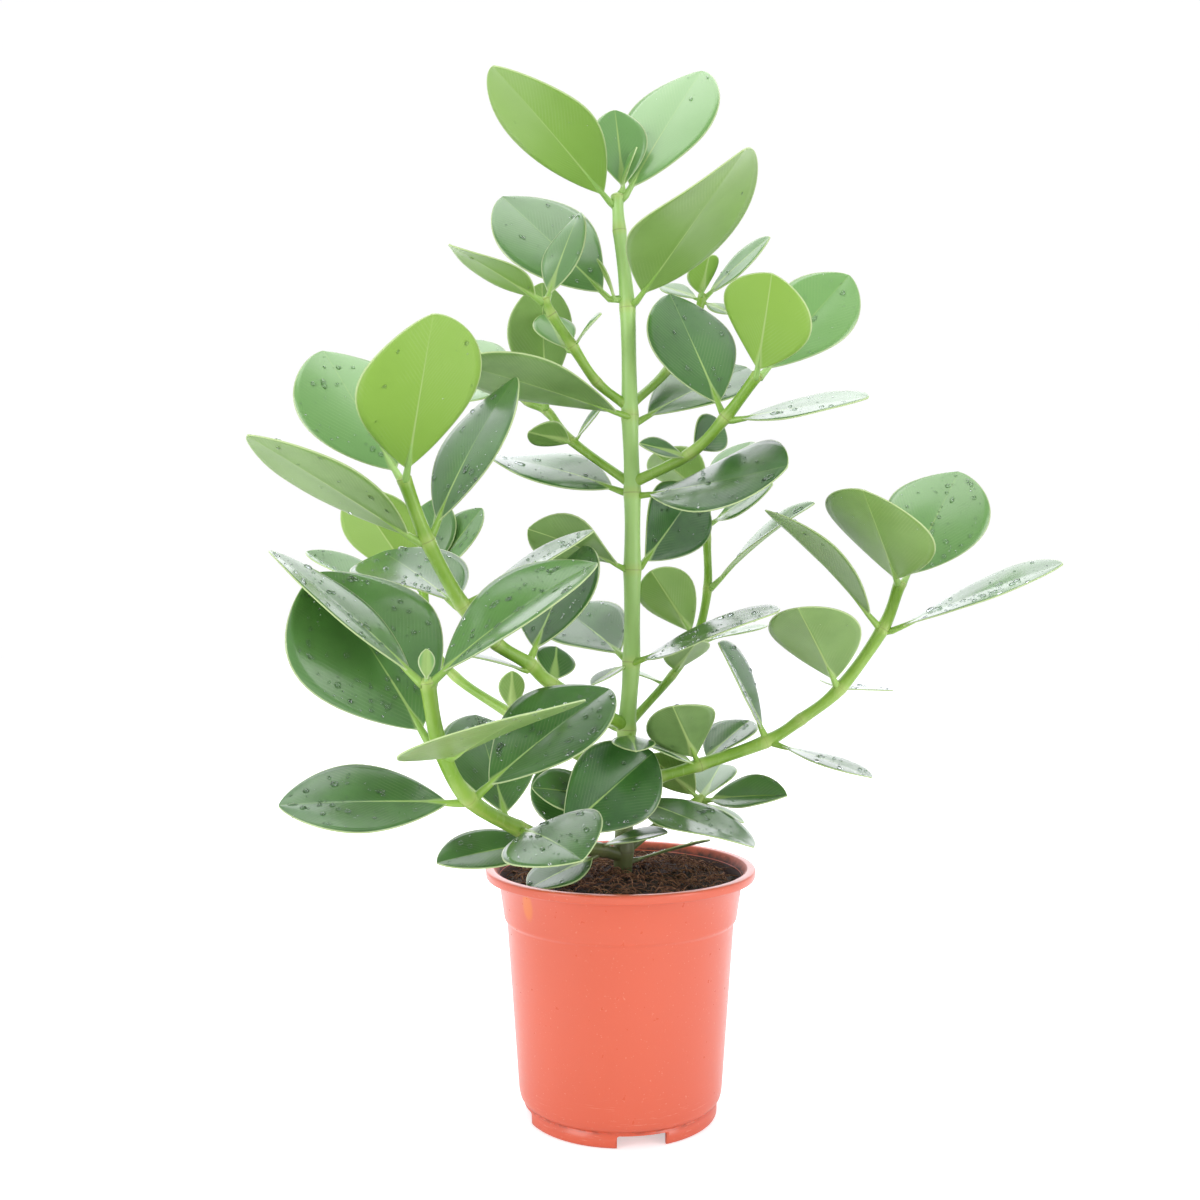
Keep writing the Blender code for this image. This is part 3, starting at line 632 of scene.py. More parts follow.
def stem(bm, fields, rows, seed, painted_light):
    """The smooth stem, swollen at each joint, with rounded ends. It is painted paler towards its tip, painted
    light against the shade it stands in.
    """
    first, last = rows[0], rows[-1]
    rings = [(first[:3], 0.0, 1.0)]
    ring_values = [first[4]]
    for x, y, z, radius, away in rows:
        swell = 1.0 + JOINT_SWELL * math.exp(-(away / JOINT_REACH) ** 2)
        rings.append(((x, y, z), radius * swell, 1.0))
        ring_values.append(away)
    tip = Vector(last[:3])
    ahead = (tip - Vector(rows[-2][:3])).normalized()
    for share in (0.5, 0.87):
        rings.append((tip + ahead * last[3] * TIP_ROUND * share, last[3] * math.sqrt(1 - share * share), 1.0))
        ring_values.append(1.0)
    rings.append((tip + ahead * last[3] * TIP_ROUND, 0.0, 1.0))
    ring_values.append(1.0)
    count = len(rings)
    values = {
        fields.along: [0.0] * count, fields.across: [0.0] * count, fields.edge: [FAR_FROM_EDGE] * count,
        fields.tone: [painted_light * min(1.0, 2.0 * n / count) for n in range(count)],
        fields.seed: [seed] * count, fields.ring: ring_values,
    }
    tube(bm, rings, STEM_SIDES, material=2, values=values)


def leafy_shoot(name, shoot, tones, materials, seed):
    rows = smooth_route(shoot["route"], ROUTE_STEPS)
    bm = bmesh.new()
    fields = Fields(bm)
    stem(bm, fields, rows, seed, TRUNK_PAINTED_LIGHT if name == "main_stem" else SHOOT_PAINTED_LIGHT)
    for index, row in enumerate(shoot["leaves"]):
        leaf_seed = seed * 31.0 + index * 1.7
        tone = tones[index]
        blade(bm, fields, row, leaf_seed, tone)
        stalk(bm, fields, row, rows, leaf_seed, tone)
    return new_piece(name + "_foliage", bm, materials, name)


# Water drops
def drops(name, shoot, material, seed):
    """Domes of water on the blades, more of them low on the plant, some run out along the leaf."""
    drawn = random.Random(seed)
    bm = bmesh.new()
    for row in shoot["leaves"]:
        length, width = row[3], row[4]
        if length < DRY_LEAF_LENGTH:
            continue
        wet = max(DRY_SHARE, min(1.0, (DRY_ABOVE - row[2]) / (DRY_ABOVE - WET_BELOW)))
        for _ in range(int(wet * length * width / LEAF_AREA_PER_DROP)):
            t = drawn.uniform(0.2, 0.96)
            q = drawn.uniform(-0.9, 0.9)
            size = DROP_LEAST + DROP_SPREAD * drawn.random() ** 4
            upper = drawn.random() < UPPER_SHARE
            if not upper:
                size *= UNDER_SIZE
            ahead = (leaf_point(row, min(1.0, t + 0.02), q) - leaf_point(row, t, q)).normalized()
            normal = leaf_normal(row, t, q) * (1 if upper else -1)
            place = leaf_point(row, t, q) + normal * (BLADE_MIDDLE / 2 + size * 0.1)
            rounds = 2 if size > ROUND_DROP else 1
            made = bmesh.ops.create_icosphere(bm, subdivisions=rounds, radius=size)["verts"]
            run = drawn.uniform(1.6, 2.6) if drawn.random() < RUN_SHARE else drawn.uniform(0.85, 1.3)
            turn = Matrix((ahead, normal.cross(ahead), normal)).transposed().to_4x4()
            squash = Matrix.Diagonal((run, 1.0, DROP_FLATNESS, 1.0))
            bmesh.ops.transform(bm, matrix=Matrix.Translation(place) @ turn @ squash, verts=made)
    return new_piece(name + "_drops", bm, [material], None)


# Pot
def pot_profile():
    """Radius and height points of the wall and floor, from the middle of the floor round to the base."""
    lip_bottom = RIM_TOP - LIP_HEIGHT
    foot_inner = FOOT_RADIUS - FOOT_WALL
    step = FOOT_GROOVE / 2
    lip = []
    for angle in range(0, 181, LIP_TURN):
        turn = math.radians(angle)
        reach, rise = LIP_ROUND * math.cos(turn), LIP_ROUND * math.sin(turn)
        lip.append((RIM_RADIUS - LIP_ROUND + reach, RIM_TOP - LIP_ROUND + rise))
    inner_lip = (LIP_INNER_RADIUS + LIP_ROUND, RIM_TOP)
    outer = [point for point in lip if point[0] >= RIM_RADIUS - LIP_ROUND]
    return [
        (0.0, FLOOR_Z + FLOOR_THICKNESS),
        (foot_inner - 3.0, FLOOR_Z + FLOOR_THICKNESS),
        (foot_inner - 1.2, FLOOR_Z + FLOOR_THICKNESS + 0.8),
        (SHOULDER_RADIUS - WALL - 0.5, SHOULDER_Z - 0.5),
        (SHOULDER_RADIUS - WALL, SHOULDER_Z + 2.0),
        (STEP_INNER_RADIUS - WALL, STEP_HEIGHT - 2.0),
        (STEP_OUTER_RADIUS - WALL - 0.3, STEP_HEIGHT + 0.4),
        (STEP_OUTER_RADIUS - WALL, STEP_HEIGHT + 1.2),
        (NECK_RADIUS - WALL, lip_bottom - 1.4),
        (LIP_INNER_RADIUS - 0.6, RIM_TOP - 1.6),
        (LIP_INNER_RADIUS, RIM_TOP - 0.6),
        inner_lip,
        *reversed(outer),
        (RIM_RADIUS - 0.15, lip_bottom + 0.8),
        (RIM_RADIUS - 0.6, lip_bottom),
        (NECK_RADIUS + 0.8, lip_bottom),
        (NECK_RADIUS, lip_bottom - 0.7),
        (STEP_OUTER_RADIUS + 0.15, STEP_HEIGHT + 2.4),
        (STEP_OUTER_RADIUS, STEP_HEIGHT + 1.3),
        (STEP_OUTER_RADIUS - 0.5, STEP_HEIGHT + 0.3),
        (STEP_INNER_RADIUS + 0.35, STEP_HEIGHT - 0.7),
        (STEP_INNER_RADIUS, STEP_HEIGHT - 1.6),
        (SHOULDER_RADIUS + 0.3, SHOULDER_Z + SHOULDER_ROUND),
        (SHOULDER_RADIUS, SHOULDER_Z),
        (SHOULDER_RADIUS - SHOULDER_INSET / 2, SHOULDER_Z - SHOULDER_ROUND * 0.6),
        (SHOULDER_RADIUS - SHOULDER_INSET, SHOULDER_Z - SHOULDER_ROUND),
        (FOOT_RADIUS + 1.7, FOOT_HEIGHT + 2.9),
        (FOOT_RADIUS + step + 0.2, FOOT_HEIGHT + 1.8),
        (FOOT_RADIUS - step, FOOT_HEIGHT + 1.1),
        (FOOT_RADIUS - step, FOOT_HEIGHT + 0.6),
        (FOOT_RADIUS + step, FOOT_HEIGHT),
        (FOOT_RADIUS + 0.1, 1.4),
        (FOOT_RADIUS - 0.3, 0.5),
        (FOOT_RADIUS - 1.0, 0.0),
        (foot_inner + 0.4, 0.0),
        (foot_inner, 0.5),
        (foot_inner, FLOOR_Z),
        (PAD_RADIUS + 2.0, FLOOR_Z),
        (PAD_RADIUS + 0.4, 0.6),
        (PAD_RADIUS, 0.0),
        (0.0, 0.0),
    ]


def spun(bm, profile, sides):
    points = [bm.verts.new((radius, 0.0, height)) for radius, height in profile]
    for first, second in zip(points, points[1:]):
        bm.edges.new((first, second))
    bmesh.ops.spin(
        bm, geom=bm.verts[:] + bm.edges[:], cent=(0, 0, 0), axis=(0, 0, 1),
        angle=math.tau, steps=sides, use_merge=True,
    )
    bmesh.ops.remove_doubles(bm, verts=bm.verts, dist=0.0001)


def cutter_mesh():
    """The foot's rounded notches and the drain holes, as one cutting body."""
    bm = bmesh.new()
    for index in range(NOTCHES):
        heading = math.radians(NOTCH_HEADING) + index * math.tau / NOTCHES
        made = bmesh.ops.create_cube(bm, size=1.0)["verts"]
        bmesh.ops.scale(bm, vec=(NOTCH_DEPTH, NOTCH_WIDTH, 2 * NOTCH_HEIGHT), verts=made)
        rims = [
            edge for edge in {edge for vert in made for edge in vert.link_edges}
            if abs(edge.verts[0].co.x - edge.verts[1].co.x) > 1.0
        ]
        bevelled = bmesh.ops.bevel(
            bm, geom=rims, offset=NOTCH_CORNER, segments=5, profile=0.5, affect="EDGES", material=-1
        )
        block = {vert for face in bevelled["faces"] for vert in face.verts}
        turn = Matrix.Rotation(heading, 4, "Z") @ Matrix.Translation((FOOT_RADIUS - 1.0, 0, 0))
        bmesh.ops.transform(bm, matrix=turn, verts=list(block))
    for index in range(DRAINS):
        heading = index * math.tau / DRAINS
        place = (DRAIN_CIRCLE * math.cos(heading), DRAIN_CIRCLE * math.sin(heading), FLOOR_Z)
        bmesh.ops.create_cone(
            bm, cap_ends=True, segments=DRAIN_SIDES, radius1=DRAIN_RADIUS, radius2=DRAIN_RADIUS,
            depth=6 * FLOOR_THICKNESS, matrix=Matrix.Translation(place),
        )
    bmesh.ops.scale(bm, vec=(MM, MM, MM), verts=bm.verts)
    bmesh.ops.recalc_face_normals(bm, faces=bm.faces)
    mesh = bpy.data.meshes.new("pot_cuts")
    bm.to_mesh(mesh)
    bm.free()
    return mesh


def make_pot(material):
    bm = bmesh.new()
    spun(bm, pot_profile(), POT_SIDES)
    pot = new_piece("nursery_pot", bm, [material], "pot")
    cutter = bpy.data.objects.new("pot_cuts", cutter_mesh())
    bpy.context.scene.collection.objects.link(cutter)
    modifier = pot.modifiers.new("cuts", "BOOLEAN")
    modifier.operation = "DIFFERENCE"
    modifier.solver = "EXACT"
    modifier.object = cutter
    graph = bpy.context.evaluated_depsgraph_get()
    finished = bpy.data.meshes.new_from_object(pot.evaluated_get(graph))
    pot.modifiers.clear()
    pot.data = finished
    bpy.data.objects.remove(cutter, do_unlink=True)
    return pot


# Peat
def soil_height(radius, heading, edge_radius):
    share = radius / edge_radius
    crown = SOIL_CROWN * math.cos(share * math.pi / 2)
    lumps = math.sin(3 * heading + 5 * share) * math.sin(7 * share + 1.0)
    lumps += 0.6 * math.sin(5 * heading - 9 * share)
    return SOIL_EDGE_Z + crown + SOIL_LUMP * lumps * (1.0 - share ** 4)


def make_soil(material):
    """The peat's lumpy crown and its hidden block, in one closed body."""
    bm = bmesh.new()
    edge_radius = (STEP_OUTER_RADIUS + NECK_RADIUS) / 2 - WALL - SOIL_SEAT
    verts = grid(bm, SOIL_RINGS, SOIL_SIDES)
    for (i, j), vert in verts.items():
        heading = math.tau * (j % SOIL_SIDES) / SOIL_SIDES
        radius = edge_radius * i / SOIL_RINGS
        x, y = radius * math.cos(heading), radius * math.sin(heading)
        place = Vector((x, y, 0.0))
        height = soil_height(radius, heading, edge_radius)
        fade = 1.0 - 0.7 * (i / SOIL_RINGS) ** 6
        height += COARSE_LUMPS[1] * noise.fractal(place / COARSE_LUMPS[0], 1.0, 2.1, 4) * fade
        height += FINE_LUMPS[1] * abs(noise.noise(place / FINE_LUMPS[0])) * fade
        vert.co = (x, y, height)
    bmesh.ops.remove_doubles(bm, verts=bm.verts, dist=0.00002)
    lower = (
        (STEP_INNER_RADIUS - WALL - 2 * SOIL_SEAT, STEP_HEIGHT - 2.5),
        (SHOULDER_RADIUS - WALL - 2 * SOIL_SEAT, SHOULDER_Z + 2.5),
        (FOOT_RADIUS - FOOT_WALL - 1.6, FLOOR_Z + FLOOR_THICKNESS + 0.3),
    )
    for radius, height in lower:
        rim = [edge for edge in bm.edges if len(edge.link_faces) == 1]
        for item in bmesh.ops.extrude_edge_only(bm, edges=rim)["geom"]:
            if isinstance(item, bmesh.types.BMVert):
                item.co = (*(item.co.xy.normalized() * radius), height)
    bmesh.ops.holes_fill(bm, edges=[edge for edge in bm.edges if len(edge.link_faces) == 1], sides=0)
    return new_piece("peat_bed", bm, [material], "soil")


def make_crumbs(material):
    """Crumbs of peat lying on the crown."""
    drawn = random.Random(5)
    bm = bmesh.new()
    edge_radius = STEP_OUTER_RADIUS - WALL
    for _ in range(CRUMBS):
        radius = edge_radius * math.sqrt(drawn.random())
        heading = drawn.uniform(0, math.tau)
        size = CRUMB_LEAST + CRUMB_SPREAD * drawn.random() ** 4
        height = soil_height(radius, heading, edge_radius) + 0.5 + 0.3 * size
        made = bmesh.ops.create_icosphere(bm, subdivisions=1, radius=size)["verts"]
        for vert in made:
            vert.co *= 1.0 + 0.35 * noise.noise(vert.co * 1.3 + Vector((radius, heading, size)))
        turn = Matrix.Rotation(drawn.uniform(0, math.tau), 4, Vector((drawn.random(), drawn.random(), 1.0)))
        stretch = Matrix.Diagonal((drawn.uniform(0.8, 1.7), 1.0, drawn.uniform(0.5, 0.9), 1.0))
        place = Matrix.Translation((radius * math.cos(heading), radius * math.sin(heading), height))
        bmesh.ops.transform(bm, matrix=place @ turn @ stretch, verts=made)
    return new_piece("peat_crumbs", bm, [material], None)


def make_fibres(material):
    """Pale root and bark fibres scattered over the peat."""
    drawn = random.Random(11)
    bm = bmesh.new()
    edge_radius = STEP_OUTER_RADIUS - WALL - FIBRE_MARGIN
    for _ in range(FIBRES):
        radius = edge_radius * math.sqrt(drawn.random())
        heading = drawn.uniform(0, math.tau)
        length = drawn.uniform(4.0, 17.0)
        turn = drawn.uniform(0, math.tau)
        curl = drawn.uniform(-0.9, 0.9)
        lift, arch = drawn.uniform(1.8, 4.2), drawn.uniform(0.0, 3.5)
        thick = 0.16 + 0.32 * drawn.random() ** 2
        x, y = radius * math.cos(heading), radius * math.sin(heading)
        rings = []
        for step in range(FIBRE_STEPS + 1):
            share = step / FIBRE_STEPS
            r = min(edge_radius + 5, math.hypot(x, y))
            z = soil_height(r, math.atan2(y, x), edge_radius + FIBRE_MARGIN)
            z += lift + arch * math.sin(math.pi * share)
            rings.append(((x, y, z), 0.0 if step in (0, FIBRE_STEPS) else thick, 1.0))
            x += length / FIBRE_STEPS * math.cos(turn + curl * share)
            y += length / FIBRE_STEPS * math.sin(turn + curl * share)
        tube(bm, rings, FIBRE_SIDES)
    return new_piece("peat_fibres", bm, [material], None)


# Material helpers
class Nodes:
    """A short hand for building a node tree."""

    def __init__(self, tree):
        self.tree = tree

    def add(self, kind, **settings):
        node = self.tree.nodes.new(kind)
        for key, value in settings.items():
            setattr(node, key, value)
        return node

    def link(self, source, target):
        self.tree.links.new(source, target)

    def feed(self, socket, value):
        if isinstance(value, bpy.types.NodeSocket):
            self.link(value, socket)
        elif isinstance(value, tuple) and len(value) == 3 and socket.type == "RGBA":
            socket.default_value = (*value, 1.0)
        else:
            socket.default_value = value

    def math(self, operation, a, b=0.0, c=0.0):
        node = self.add("ShaderNodeMath", operation=operation)
        for socket, value in zip(node.inputs, (a, b, c)):
            self.feed(socket, value)
        return node.outputs[0]

    def mix(self, factor, a, b):
        node = self.add("ShaderNodeMix", data_type="RGBA")
        self.feed(node.inputs["Factor"], factor)
        self.feed(node.inputs[6], a)
        self.feed(node.inputs[7], b)
        return node.outputs[2]

    def smooth(self, value, low, high, out_low=0.0, out_high=1.0):
        node = self.add("ShaderNodeMapRange", interpolation_type="SMOOTHSTEP")
        for key, given in (
            ("Value", value), ("From Min", low), ("From Max", high), ("To Min", out_low), ("To Max", out_high)
        ):
            self.feed(node.inputs[key], given)
        return node.outputs["Result"]

    def noise(self, vector, scale, detail=3.0, rough=0.5):
        node = self.add("ShaderNodeTexNoise")
        self.feed(node.inputs["Vector"], vector)
        node.inputs["Scale"].default_value = scale
        node.inputs["Detail"].default_value = detail
        node.inputs["Roughness"].default_value = rough
        return node.outputs["Fac"]

    def attribute(self, name):
        return self.add("ShaderNodeAttribute", attribute_type="GEOMETRY", attribute_name=name).outputs["Fac"]

    def place(self):
        return self.add("ShaderNodeTexCoord").outputs["Object"]

    def squashed(self, vector, scale):
        node = self.add("ShaderNodeVectorMath", operation="MULTIPLY")
        self.link(vector, node.inputs[0])
        node.inputs[1].default_value = scale
        return node.outputs["Vector"]

    def stretched(self, scale):
        node = self.add("ShaderNodeMapping")
        self.link(self.place(), node.inputs["Vector"])
        node.inputs["Scale"].default_value = scale
        return node.outputs["Vector"]

    def bump(self, shader, height, strength, distance):
        node = self.add("ShaderNodeBump")
        node.inputs["Strength"].default_value = strength
        node.inputs["Distance"].default_value = distance
        self.link(height, node.inputs["Height"])
        self.link(node.outputs["Normal"], shader.inputs["Normal"])


def new_material(name):
    made = bpy.data.materials.new(name)
    made.use_nodes = True
    shader = made.node_tree.nodes["Principled BSDF"]
    return made, Nodes(made.node_tree), shader


def leaf_pattern():
    """Masks of a leaf: midrib, margin line, fine slanted veins, blotches and tone."""
    group = bpy.data.node_groups.new("leaf_pattern", "ShaderNodeTree")
    for name in ("Midrib", "Margin", "Veins", "Blotch", "Tone"):
        group.interface.new_socket(name, in_out="OUTPUT", socket_type="NodeSocketFloat")
    n = Nodes(group)
    out = n.add("NodeGroupOutput")
    along, across = n.attribute("leaf_along"), n.attribute("leaf_across")
    edge, seed = n.attribute("leaf_edge"), n.attribute("leaf_seed")
    off = n.math("ABSOLUTE", across)
    rib_half = n.math("MAXIMUM", n.math("MULTIPLY_ADD", along, -0.016, 1.25), 0.36)
    throat = n.smooth(along, 26.0, 6.0, 0.0, 2.2)
    rib = n.math("DIVIDE", off, n.math("ADD", rib_half, throat))
    n.link(n.smooth(rib, 1.25, 0.45), out.inputs["Midrib"])
    n.link(n.smooth(edge, 0.95, 0.35), out.inputs["Margin"])
    place = n.place()
    warp = n.noise(place, 60.0, 2.0)
    run = n.math("SUBTRACT", along, n.math("MULTIPLY", off, 1.45))
    run = n.math("ADD", run, n.math("MULTIPLY", warp, 1.6))
    wave = n.math("SINE", n.math("MULTIPLY", run, math.tau / VEIN_SPACING))
    broken = n.smooth(n.noise(place, 35.0, 2.0), 0.38, 0.62)
    n.link(n.math("MULTIPLY", n.smooth(wave, 0.2, 1.0), broken), out.inputs["Veins"])
    shifted = n.add("ShaderNodeCombineXYZ")
    n.link(n.math("MULTIPLY", along, 0.03), shifted.inputs["X"])
    n.link(n.math("MULTIPLY", across, 0.03), shifted.inputs["Y"])
    n.link(seed, shifted.inputs["Z"])
    n.link(n.noise(shifted.outputs[0], 1.0, 4.0, 0.6), out.inputs["Blotch"])
    n.link(n.attribute("leaf_tone"), out.inputs["Tone"])
    return group


def leaf_material(name, pattern, colours, veins, rib_run, roughness, ior, coat, bump):
    """A leaf skin. rib_run says where along the leaf the midrib fades, in millimetres."""
    dark, light, young_and_backlit, rib, margin = colours
    made, n, shader = new_material(name)
    masks = n.add("ShaderNodeGroup", node_tree=pattern)
    blotch = n.smooth(masks.outputs["Blotch"], 0.3, 0.7)
    base = n.mix(blotch, dark, light)
    # The young lime green is partly the young leaves' own colour and partly painted backlight shining through
    # the blade
    base = n.mix(masks.outputs["Tone"], base, young_and_backlit)
    base = n.mix(n.math("MULTIPLY", masks.outputs["Veins"], veins), base, margin)
    kept = n.smooth(n.attribute("leaf_along"), rib_run[0], rib_run[1], 0.92, 0.25)
    base = n.mix(n.math("MULTIPLY", masks.outputs["Midrib"], kept), base, rib)
    base = n.mix(n.math("MULTIPLY", masks.outputs["Margin"], 0.85), base, margin)
    n.link(base, shader.inputs["Base Color"])
    fine = n.noise(n.place(), 900.0, 2.0)
    rough = n.math("MULTIPLY_ADD", fine, 0.16, roughness - 0.08)
    n.link(n.math("ADD", rough, n.math("MULTIPLY", masks.outputs["Midrib"], 0.1)), shader.inputs["Roughness"])
    shader.inputs["Coat Weight"].default_value = coat
    shader.inputs["Coat Roughness"].default_value = 0.2
    shader.inputs["IOR"].default_value = ior
    height = n.math("MULTIPLY_ADD", masks.outputs["Veins"], 0.22, n.math("MULTIPLY", fine, 0.35))
    n.bump(shader, height, bump, 0.0004)
    return made


def stem_material():
    made, n, shader = new_material("stem_green")
    ring = n.attribute("stem_ring")
    streaks = n.noise(n.stretched((420.0, 420.0, 40.0)), 1.0, 3.0, 0.6)
    soft = n.noise(n.place(), 45.0, 3.0)
    base = n.mix(n.smooth(soft, 0.35, 0.65), STEM_DARK, STEM_LIGHT)
    # Paler where the tone is high: painted light up the main stem and on the stalks of leaves painted as
    # backlit
    base = n.mix(n.attribute("leaf_tone"), base, STEM_PALE_PAINTED_LIGHT)
    base = n.mix(n.smooth(streaks, 0.55, 0.75, 0.0, 0.4), base, STEM_STREAK)
    node = n.smooth(ring, 6.0, 0.5)
    base = n.mix(n.math("MULTIPLY", node, 0.6), base, STEM_JOINT)
    scar = n.smooth(n.math("ADD", ring, n.math("MULTIPLY", soft, 0.8)), 0.75, 0.45)
    base = n.mix(n.math("MULTIPLY", scar, 0.4), base, STEM_SCAR)
    split = n.add("ShaderNodeSeparateXYZ")
    n.link(n.place(), split.inputs[0])
    old = n.smooth(n.math("MULTIPLY_ADD", soft, 0.03, split.outputs["Z"]), BARK_TOP, BARK_FULL)
    base = n.mix(n.math("MULTIPLY", old, 0.8), base, STEM_BARK)
    n.link(base, shader.inputs["Base Color"])
    n.link(n.math("MULTIPLY_ADD", streaks, 0.2, 0.3), shader.inputs["Roughness"])
    shader.inputs["Coat Weight"].default_value = 0.25
    shader.inputs["Coat Roughness"].default_value = 0.25
    n.bump(shader, streaks, 0.35, 0.0005)
    return made


def pot_material():
    made, n, shader = new_material("terracotta_plastic_moulded")
    place = n.place()
    split = n.add("ShaderNodeSeparateXYZ")
    n.link(place, split.inputs[0])
    x, y, z = (split.outputs[axis] for axis in "XYZ")
    cloud = n.noise(n.stretched((9.0, 9.0, 5.0)), 1.0, 3.0)
    base = n.mix(n.smooth(cloud, 0.3, 0.7), POT_DARK, POT_LIGHT)
    scuffs = n.noise(n.stretched((60.0, 60.0, 900.0)), 1.0, 4.0, 0.7)
    low = n.smooth(z, SCUFF_TOP, 0.0)
    marks = n.math("MULTIPLY", n.smooth(scuffs, 0.6, 0.7), low)
    base = n.mix(n.math("MULTIPLY", marks, 0.55), base, POT_SCUFF)
    dust = n.smooth(n.noise(place, 700.0, 2.0), 0.68, 0.73)
    base = n.mix(n.math("MULTIPLY", dust, 0.2), base, POT_DUST)
    dirt = n.noise(place, 180.0, 4.0, 0.65)
    groove = n.math("MULTIPLY", n.smooth(z, *GROOVE_BOTTOM), n.smooth(z, *GROOVE_TOP))
    groove = n.math("MULTIPLY", groove, n.smooth(dirt, 0.45, 0.62, 0.05, 0.4))
    base = n.mix(groove, base, POT_DIRT)
    # Painted light: an orange glow painted on the wall as a spot taller than it is wide
    away = n.add("ShaderNodeVectorMath", operation="DISTANCE")
    n.link(n.squashed(place, GLOW_SQUASH), away.inputs[0])
    away.inputs[1].default_value = GLOW_PLACE
    painted_glow = n.smooth(away.outputs["Value"], GLOW_EDGE, GLOW_CORE, 0.0, GLOW_STRENGTH)
    base = n.mix(painted_glow, base, POT_PAINTED_GLOW)
    radius = n.math("SQRT", n.math("ADD", n.math("MULTIPLY", x, x), n.math("MULTIPLY", y, y)))
    limit = n.math("MULTIPLY_ADD", n.math("SUBTRACT", z, WALL_MIDDLE_Z), WALL_SLOPE, WALL_MIDDLE_RADIUS)
    limit = n.math("ADD", limit, n.smooth(z, *LIP_BEGINS, 0.0, LIP_WIDENS))
    # The inside of the wall above the step is coloured dark brown, fully below the lip and fading to a
    # quarter at the rim top
    inside = n.math("MULTIPLY", n.math("LESS_THAN", radius, limit), n.math("GREATER_THAN", z, INSIDE_FROM))
    inside_dark = n.smooth(n.math("MULTIPLY_ADD", dirt, 0.008, z), *INSIDE_DARK_HEIGHTS, 0.25, 1.0)
    base = n.mix(n.math("MULTIPLY", inside, inside_dark), base, POT_INSIDE_DARK)
    n.link(base, shader.inputs["Base Color"])
    rough = n.math("MULTIPLY_ADD", n.noise(place, 240.0, 3.0), 0.12, 0.24)
    rough = n.math("MULTIPLY_ADD", inside, 0.3, rough)
    n.link(n.math("ADD", rough, n.math("MULTIPLY", marks, 0.25)), shader.inputs["Roughness"])
    n.link(n.math("MULTIPLY_ADD", inside, -0.22, 0.27), shader.inputs["Coat Weight"])
    shader.inputs["Coat Roughness"].default_value = 0.14
    n.bump(shader, n.noise(place, 160.0, 3.0), 0.025, 0.0004)
    return made


def peat_material(name, dark, light, bump):
    made, n, shader = new_material(name)
    place = n.place()
    grain = n.noise(place, 500.0, 4.0, 0.7)
    lumps = n.noise(place, 120.0, 3.0)
    base = n.mix(n.smooth(grain, 0.35, 0.7), dark, light)
    base = n.mix(n.smooth(lumps, 0.45, 0.7, 0.0, 0.6), base, dark)
    n.link(base, shader.inputs["Base Color"])
    n.link(n.math("MULTIPLY_ADD", grain, -0.25, 1.0), shader.inputs["Roughness"])
    n.bump(shader, grain, bump, 0.0012)
    return made


def water_material():
    made, n, shader = new_material("water_drop")
    shader.inputs["Base Color"].default_value = (0.95, 0.98, 1.0, 1.0)
    shader.inputs["Transmission Weight"].default_value = 1.0
    shader.inputs["IOR"].default_value = 1.45
    n.link(n.math("MULTIPLY_ADD", n.noise(n.place(), 300.0), 0.04, 0.0), shader.inputs["Roughness"])
    return made


# Stage
def area_light(name, place, target, size, power, color):
    light = bpy.data.lights.new(name, "AREA")
    light.shape = "RECTANGLE"
    light.size, light.size_y = size
    light.energy = power
    light.color = color
    obj = bpy.data.objects.new(name, light)
    bpy.context.scene.collection.objects.link(obj)
    obj.location = place
    obj.rotation_euler = (Vector(target) - Vector(place)).to_track_quat("-Z", "Y").to_euler()
    obj.visible_camera = False
    return obj


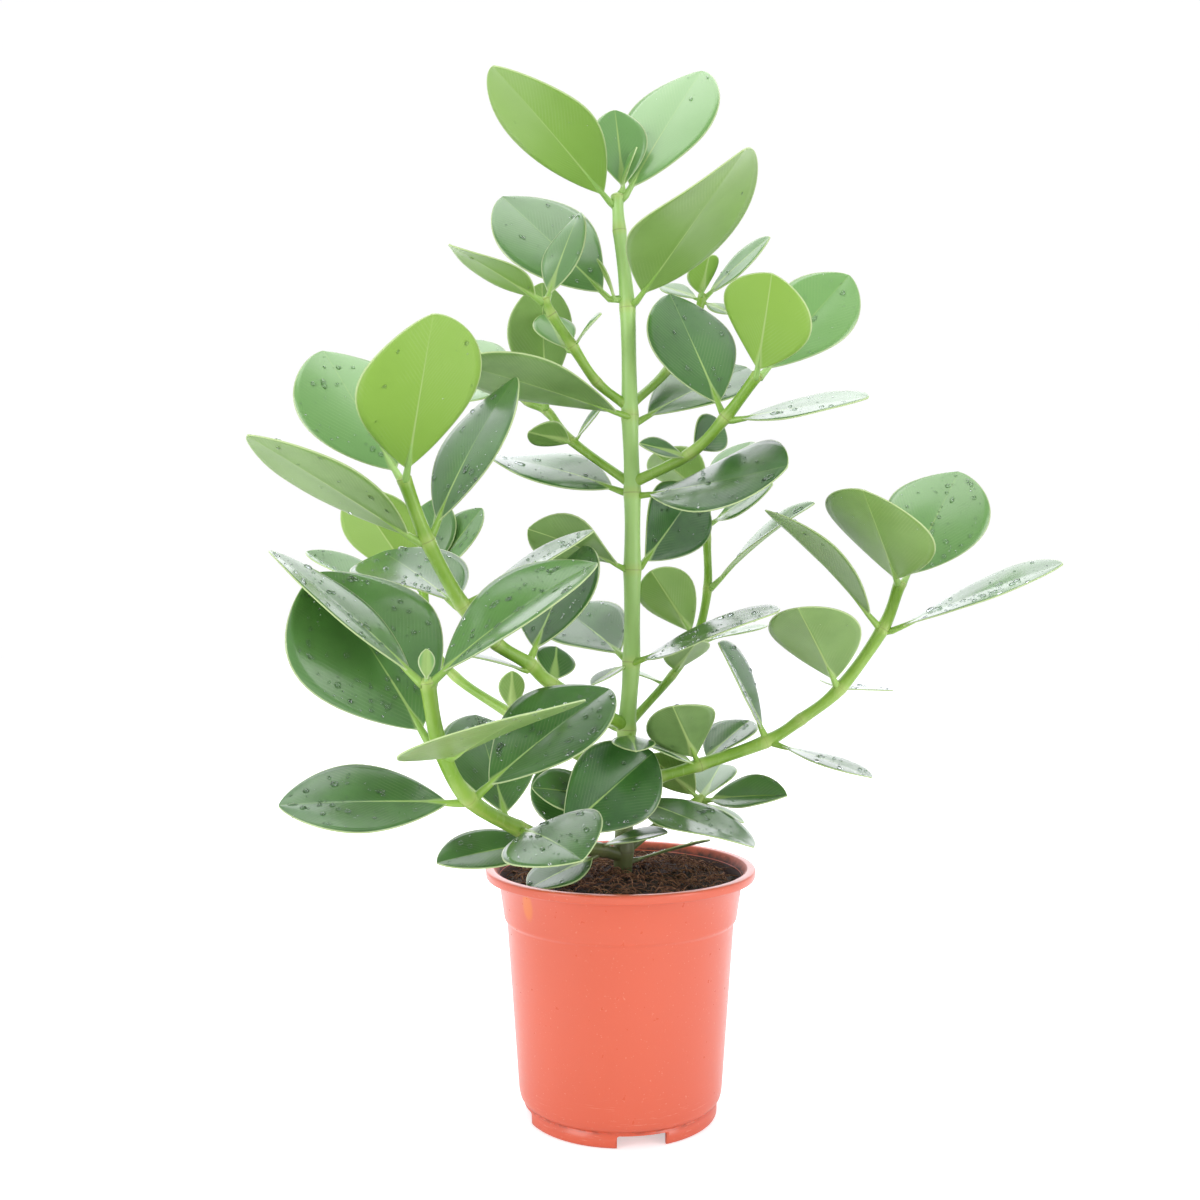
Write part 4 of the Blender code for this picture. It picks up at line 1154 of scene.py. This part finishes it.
def stage():
    scene = bpy.context.scene
    world = bpy.data.worlds.new("studio")
    scene.world = world
    world.use_nodes = True
    n = Nodes(world.node_tree)
    back = world.node_tree.nodes["Background"]
    split = n.add("ShaderNodeSeparateXYZ")
    n.link(n.add("ShaderNodeTexCoord").outputs["Generated"], split.inputs[0])
    room = n.smooth(split.outputs["Y"], -0.75, 0.15, ROOM_FRONT, ROOM_BACK)
    seen = n.add("ShaderNodeLightPath").outputs["Is Camera Ray"]
    n.link(n.mix(seen, ROOM_COLOUR, SEEN_COLOUR), back.inputs["Color"])
    strength = n.add("ShaderNodeMix", data_type="FLOAT")
    n.link(seen, strength.inputs["Factor"])
    n.link(room, strength.inputs[2])
    strength.inputs[3].default_value = SEEN_BACK
    n.link(strength.outputs[0], back.inputs["Strength"])
    bm = bmesh.new()
    bmesh.ops.create_circle(bm, cap_ends=True, segments=96, radius=FLOOR_RADIUS)
    mesh = bpy.data.meshes.new("floor")
    bm.to_mesh(mesh)
    bm.free()
    floor = bpy.data.objects.new("floor", mesh)
    scene.collection.objects.link(floor)
    floor.location = (0, 0, -FLOOR_DROP)
    paper, n, shader = new_material("floor_paper")
    grain = n.noise(n.place(), 30.0, 3.0)
    n.link(n.mix(grain, PAPER_DARK, PAPER_LIGHT), shader.inputs["Base Color"])
    shader.inputs["Emission Color"].default_value = (1.0, 1.0, 1.0, 1.0)
    seen = n.add("ShaderNodeLightPath").outputs["Is Camera Ray"]
    n.link(n.math("MULTIPLY_ADD", seen, SEEN_FLOOR_GLOW, FLOOR_GLOW), shader.inputs["Emission Strength"])
    shader.inputs["Roughness"].default_value = 0.7
    mesh.materials.append(paper)
    for row in SOFTBOXES:
        area_light(*row)
    camera = bpy.data.cameras.new("camera")
    camera.lens = LENS
    camera.sensor_width = SENSOR_WIDTH
    camera.clip_start = 0.02
    view = bpy.data.objects.new("camera", camera)
    scene.collection.objects.link(view)
    view.location = CAMERA_PLACE
    view.rotation_euler = (math.pi / 2, 0, 0)
    scene.camera = view
    scene.view_settings.view_transform = "Standard"
    scene.view_settings.look = "None"
    scene.view_settings.exposure = 0.0


stage()
pattern = leaf_pattern()
upper = leaf_material(
    "leaf_upper", pattern, UPPER_COLOURS, veins=0.06, rib_run=UPPER_RIB_RUN,
    roughness=0.31, ior=1.6, coat=0.45, bump=0.2,
)
under = leaf_material(
    "leaf_under", pattern, UNDER_COLOURS, veins=0.09, rib_run=UNDER_RIB_RUN,
    roughness=0.42, ior=1.5, coat=0.05, bump=0.25,
)
green_stem = stem_material()
water = water_material()
for number, (name, shoot) in enumerate(SHOOTS.items()):
    leafy_shoot(name, shoot, YOUNG_AND_BACKLIT_TONES[name], [upper, under, green_stem], number + 1)
    drops(name, shoot, water, 100 + number)
make_pot(pot_material())
make_soil(peat_material("peat_bed_brown", *BED_COLOURS, bump=0.8))
make_crumbs(peat_material("peat_crumb_brown", *CRUMB_COLOURS, bump=0.6))
make_fibres(peat_material("fibre_straw", *FIBRE_COLOURS, bump=0.3))
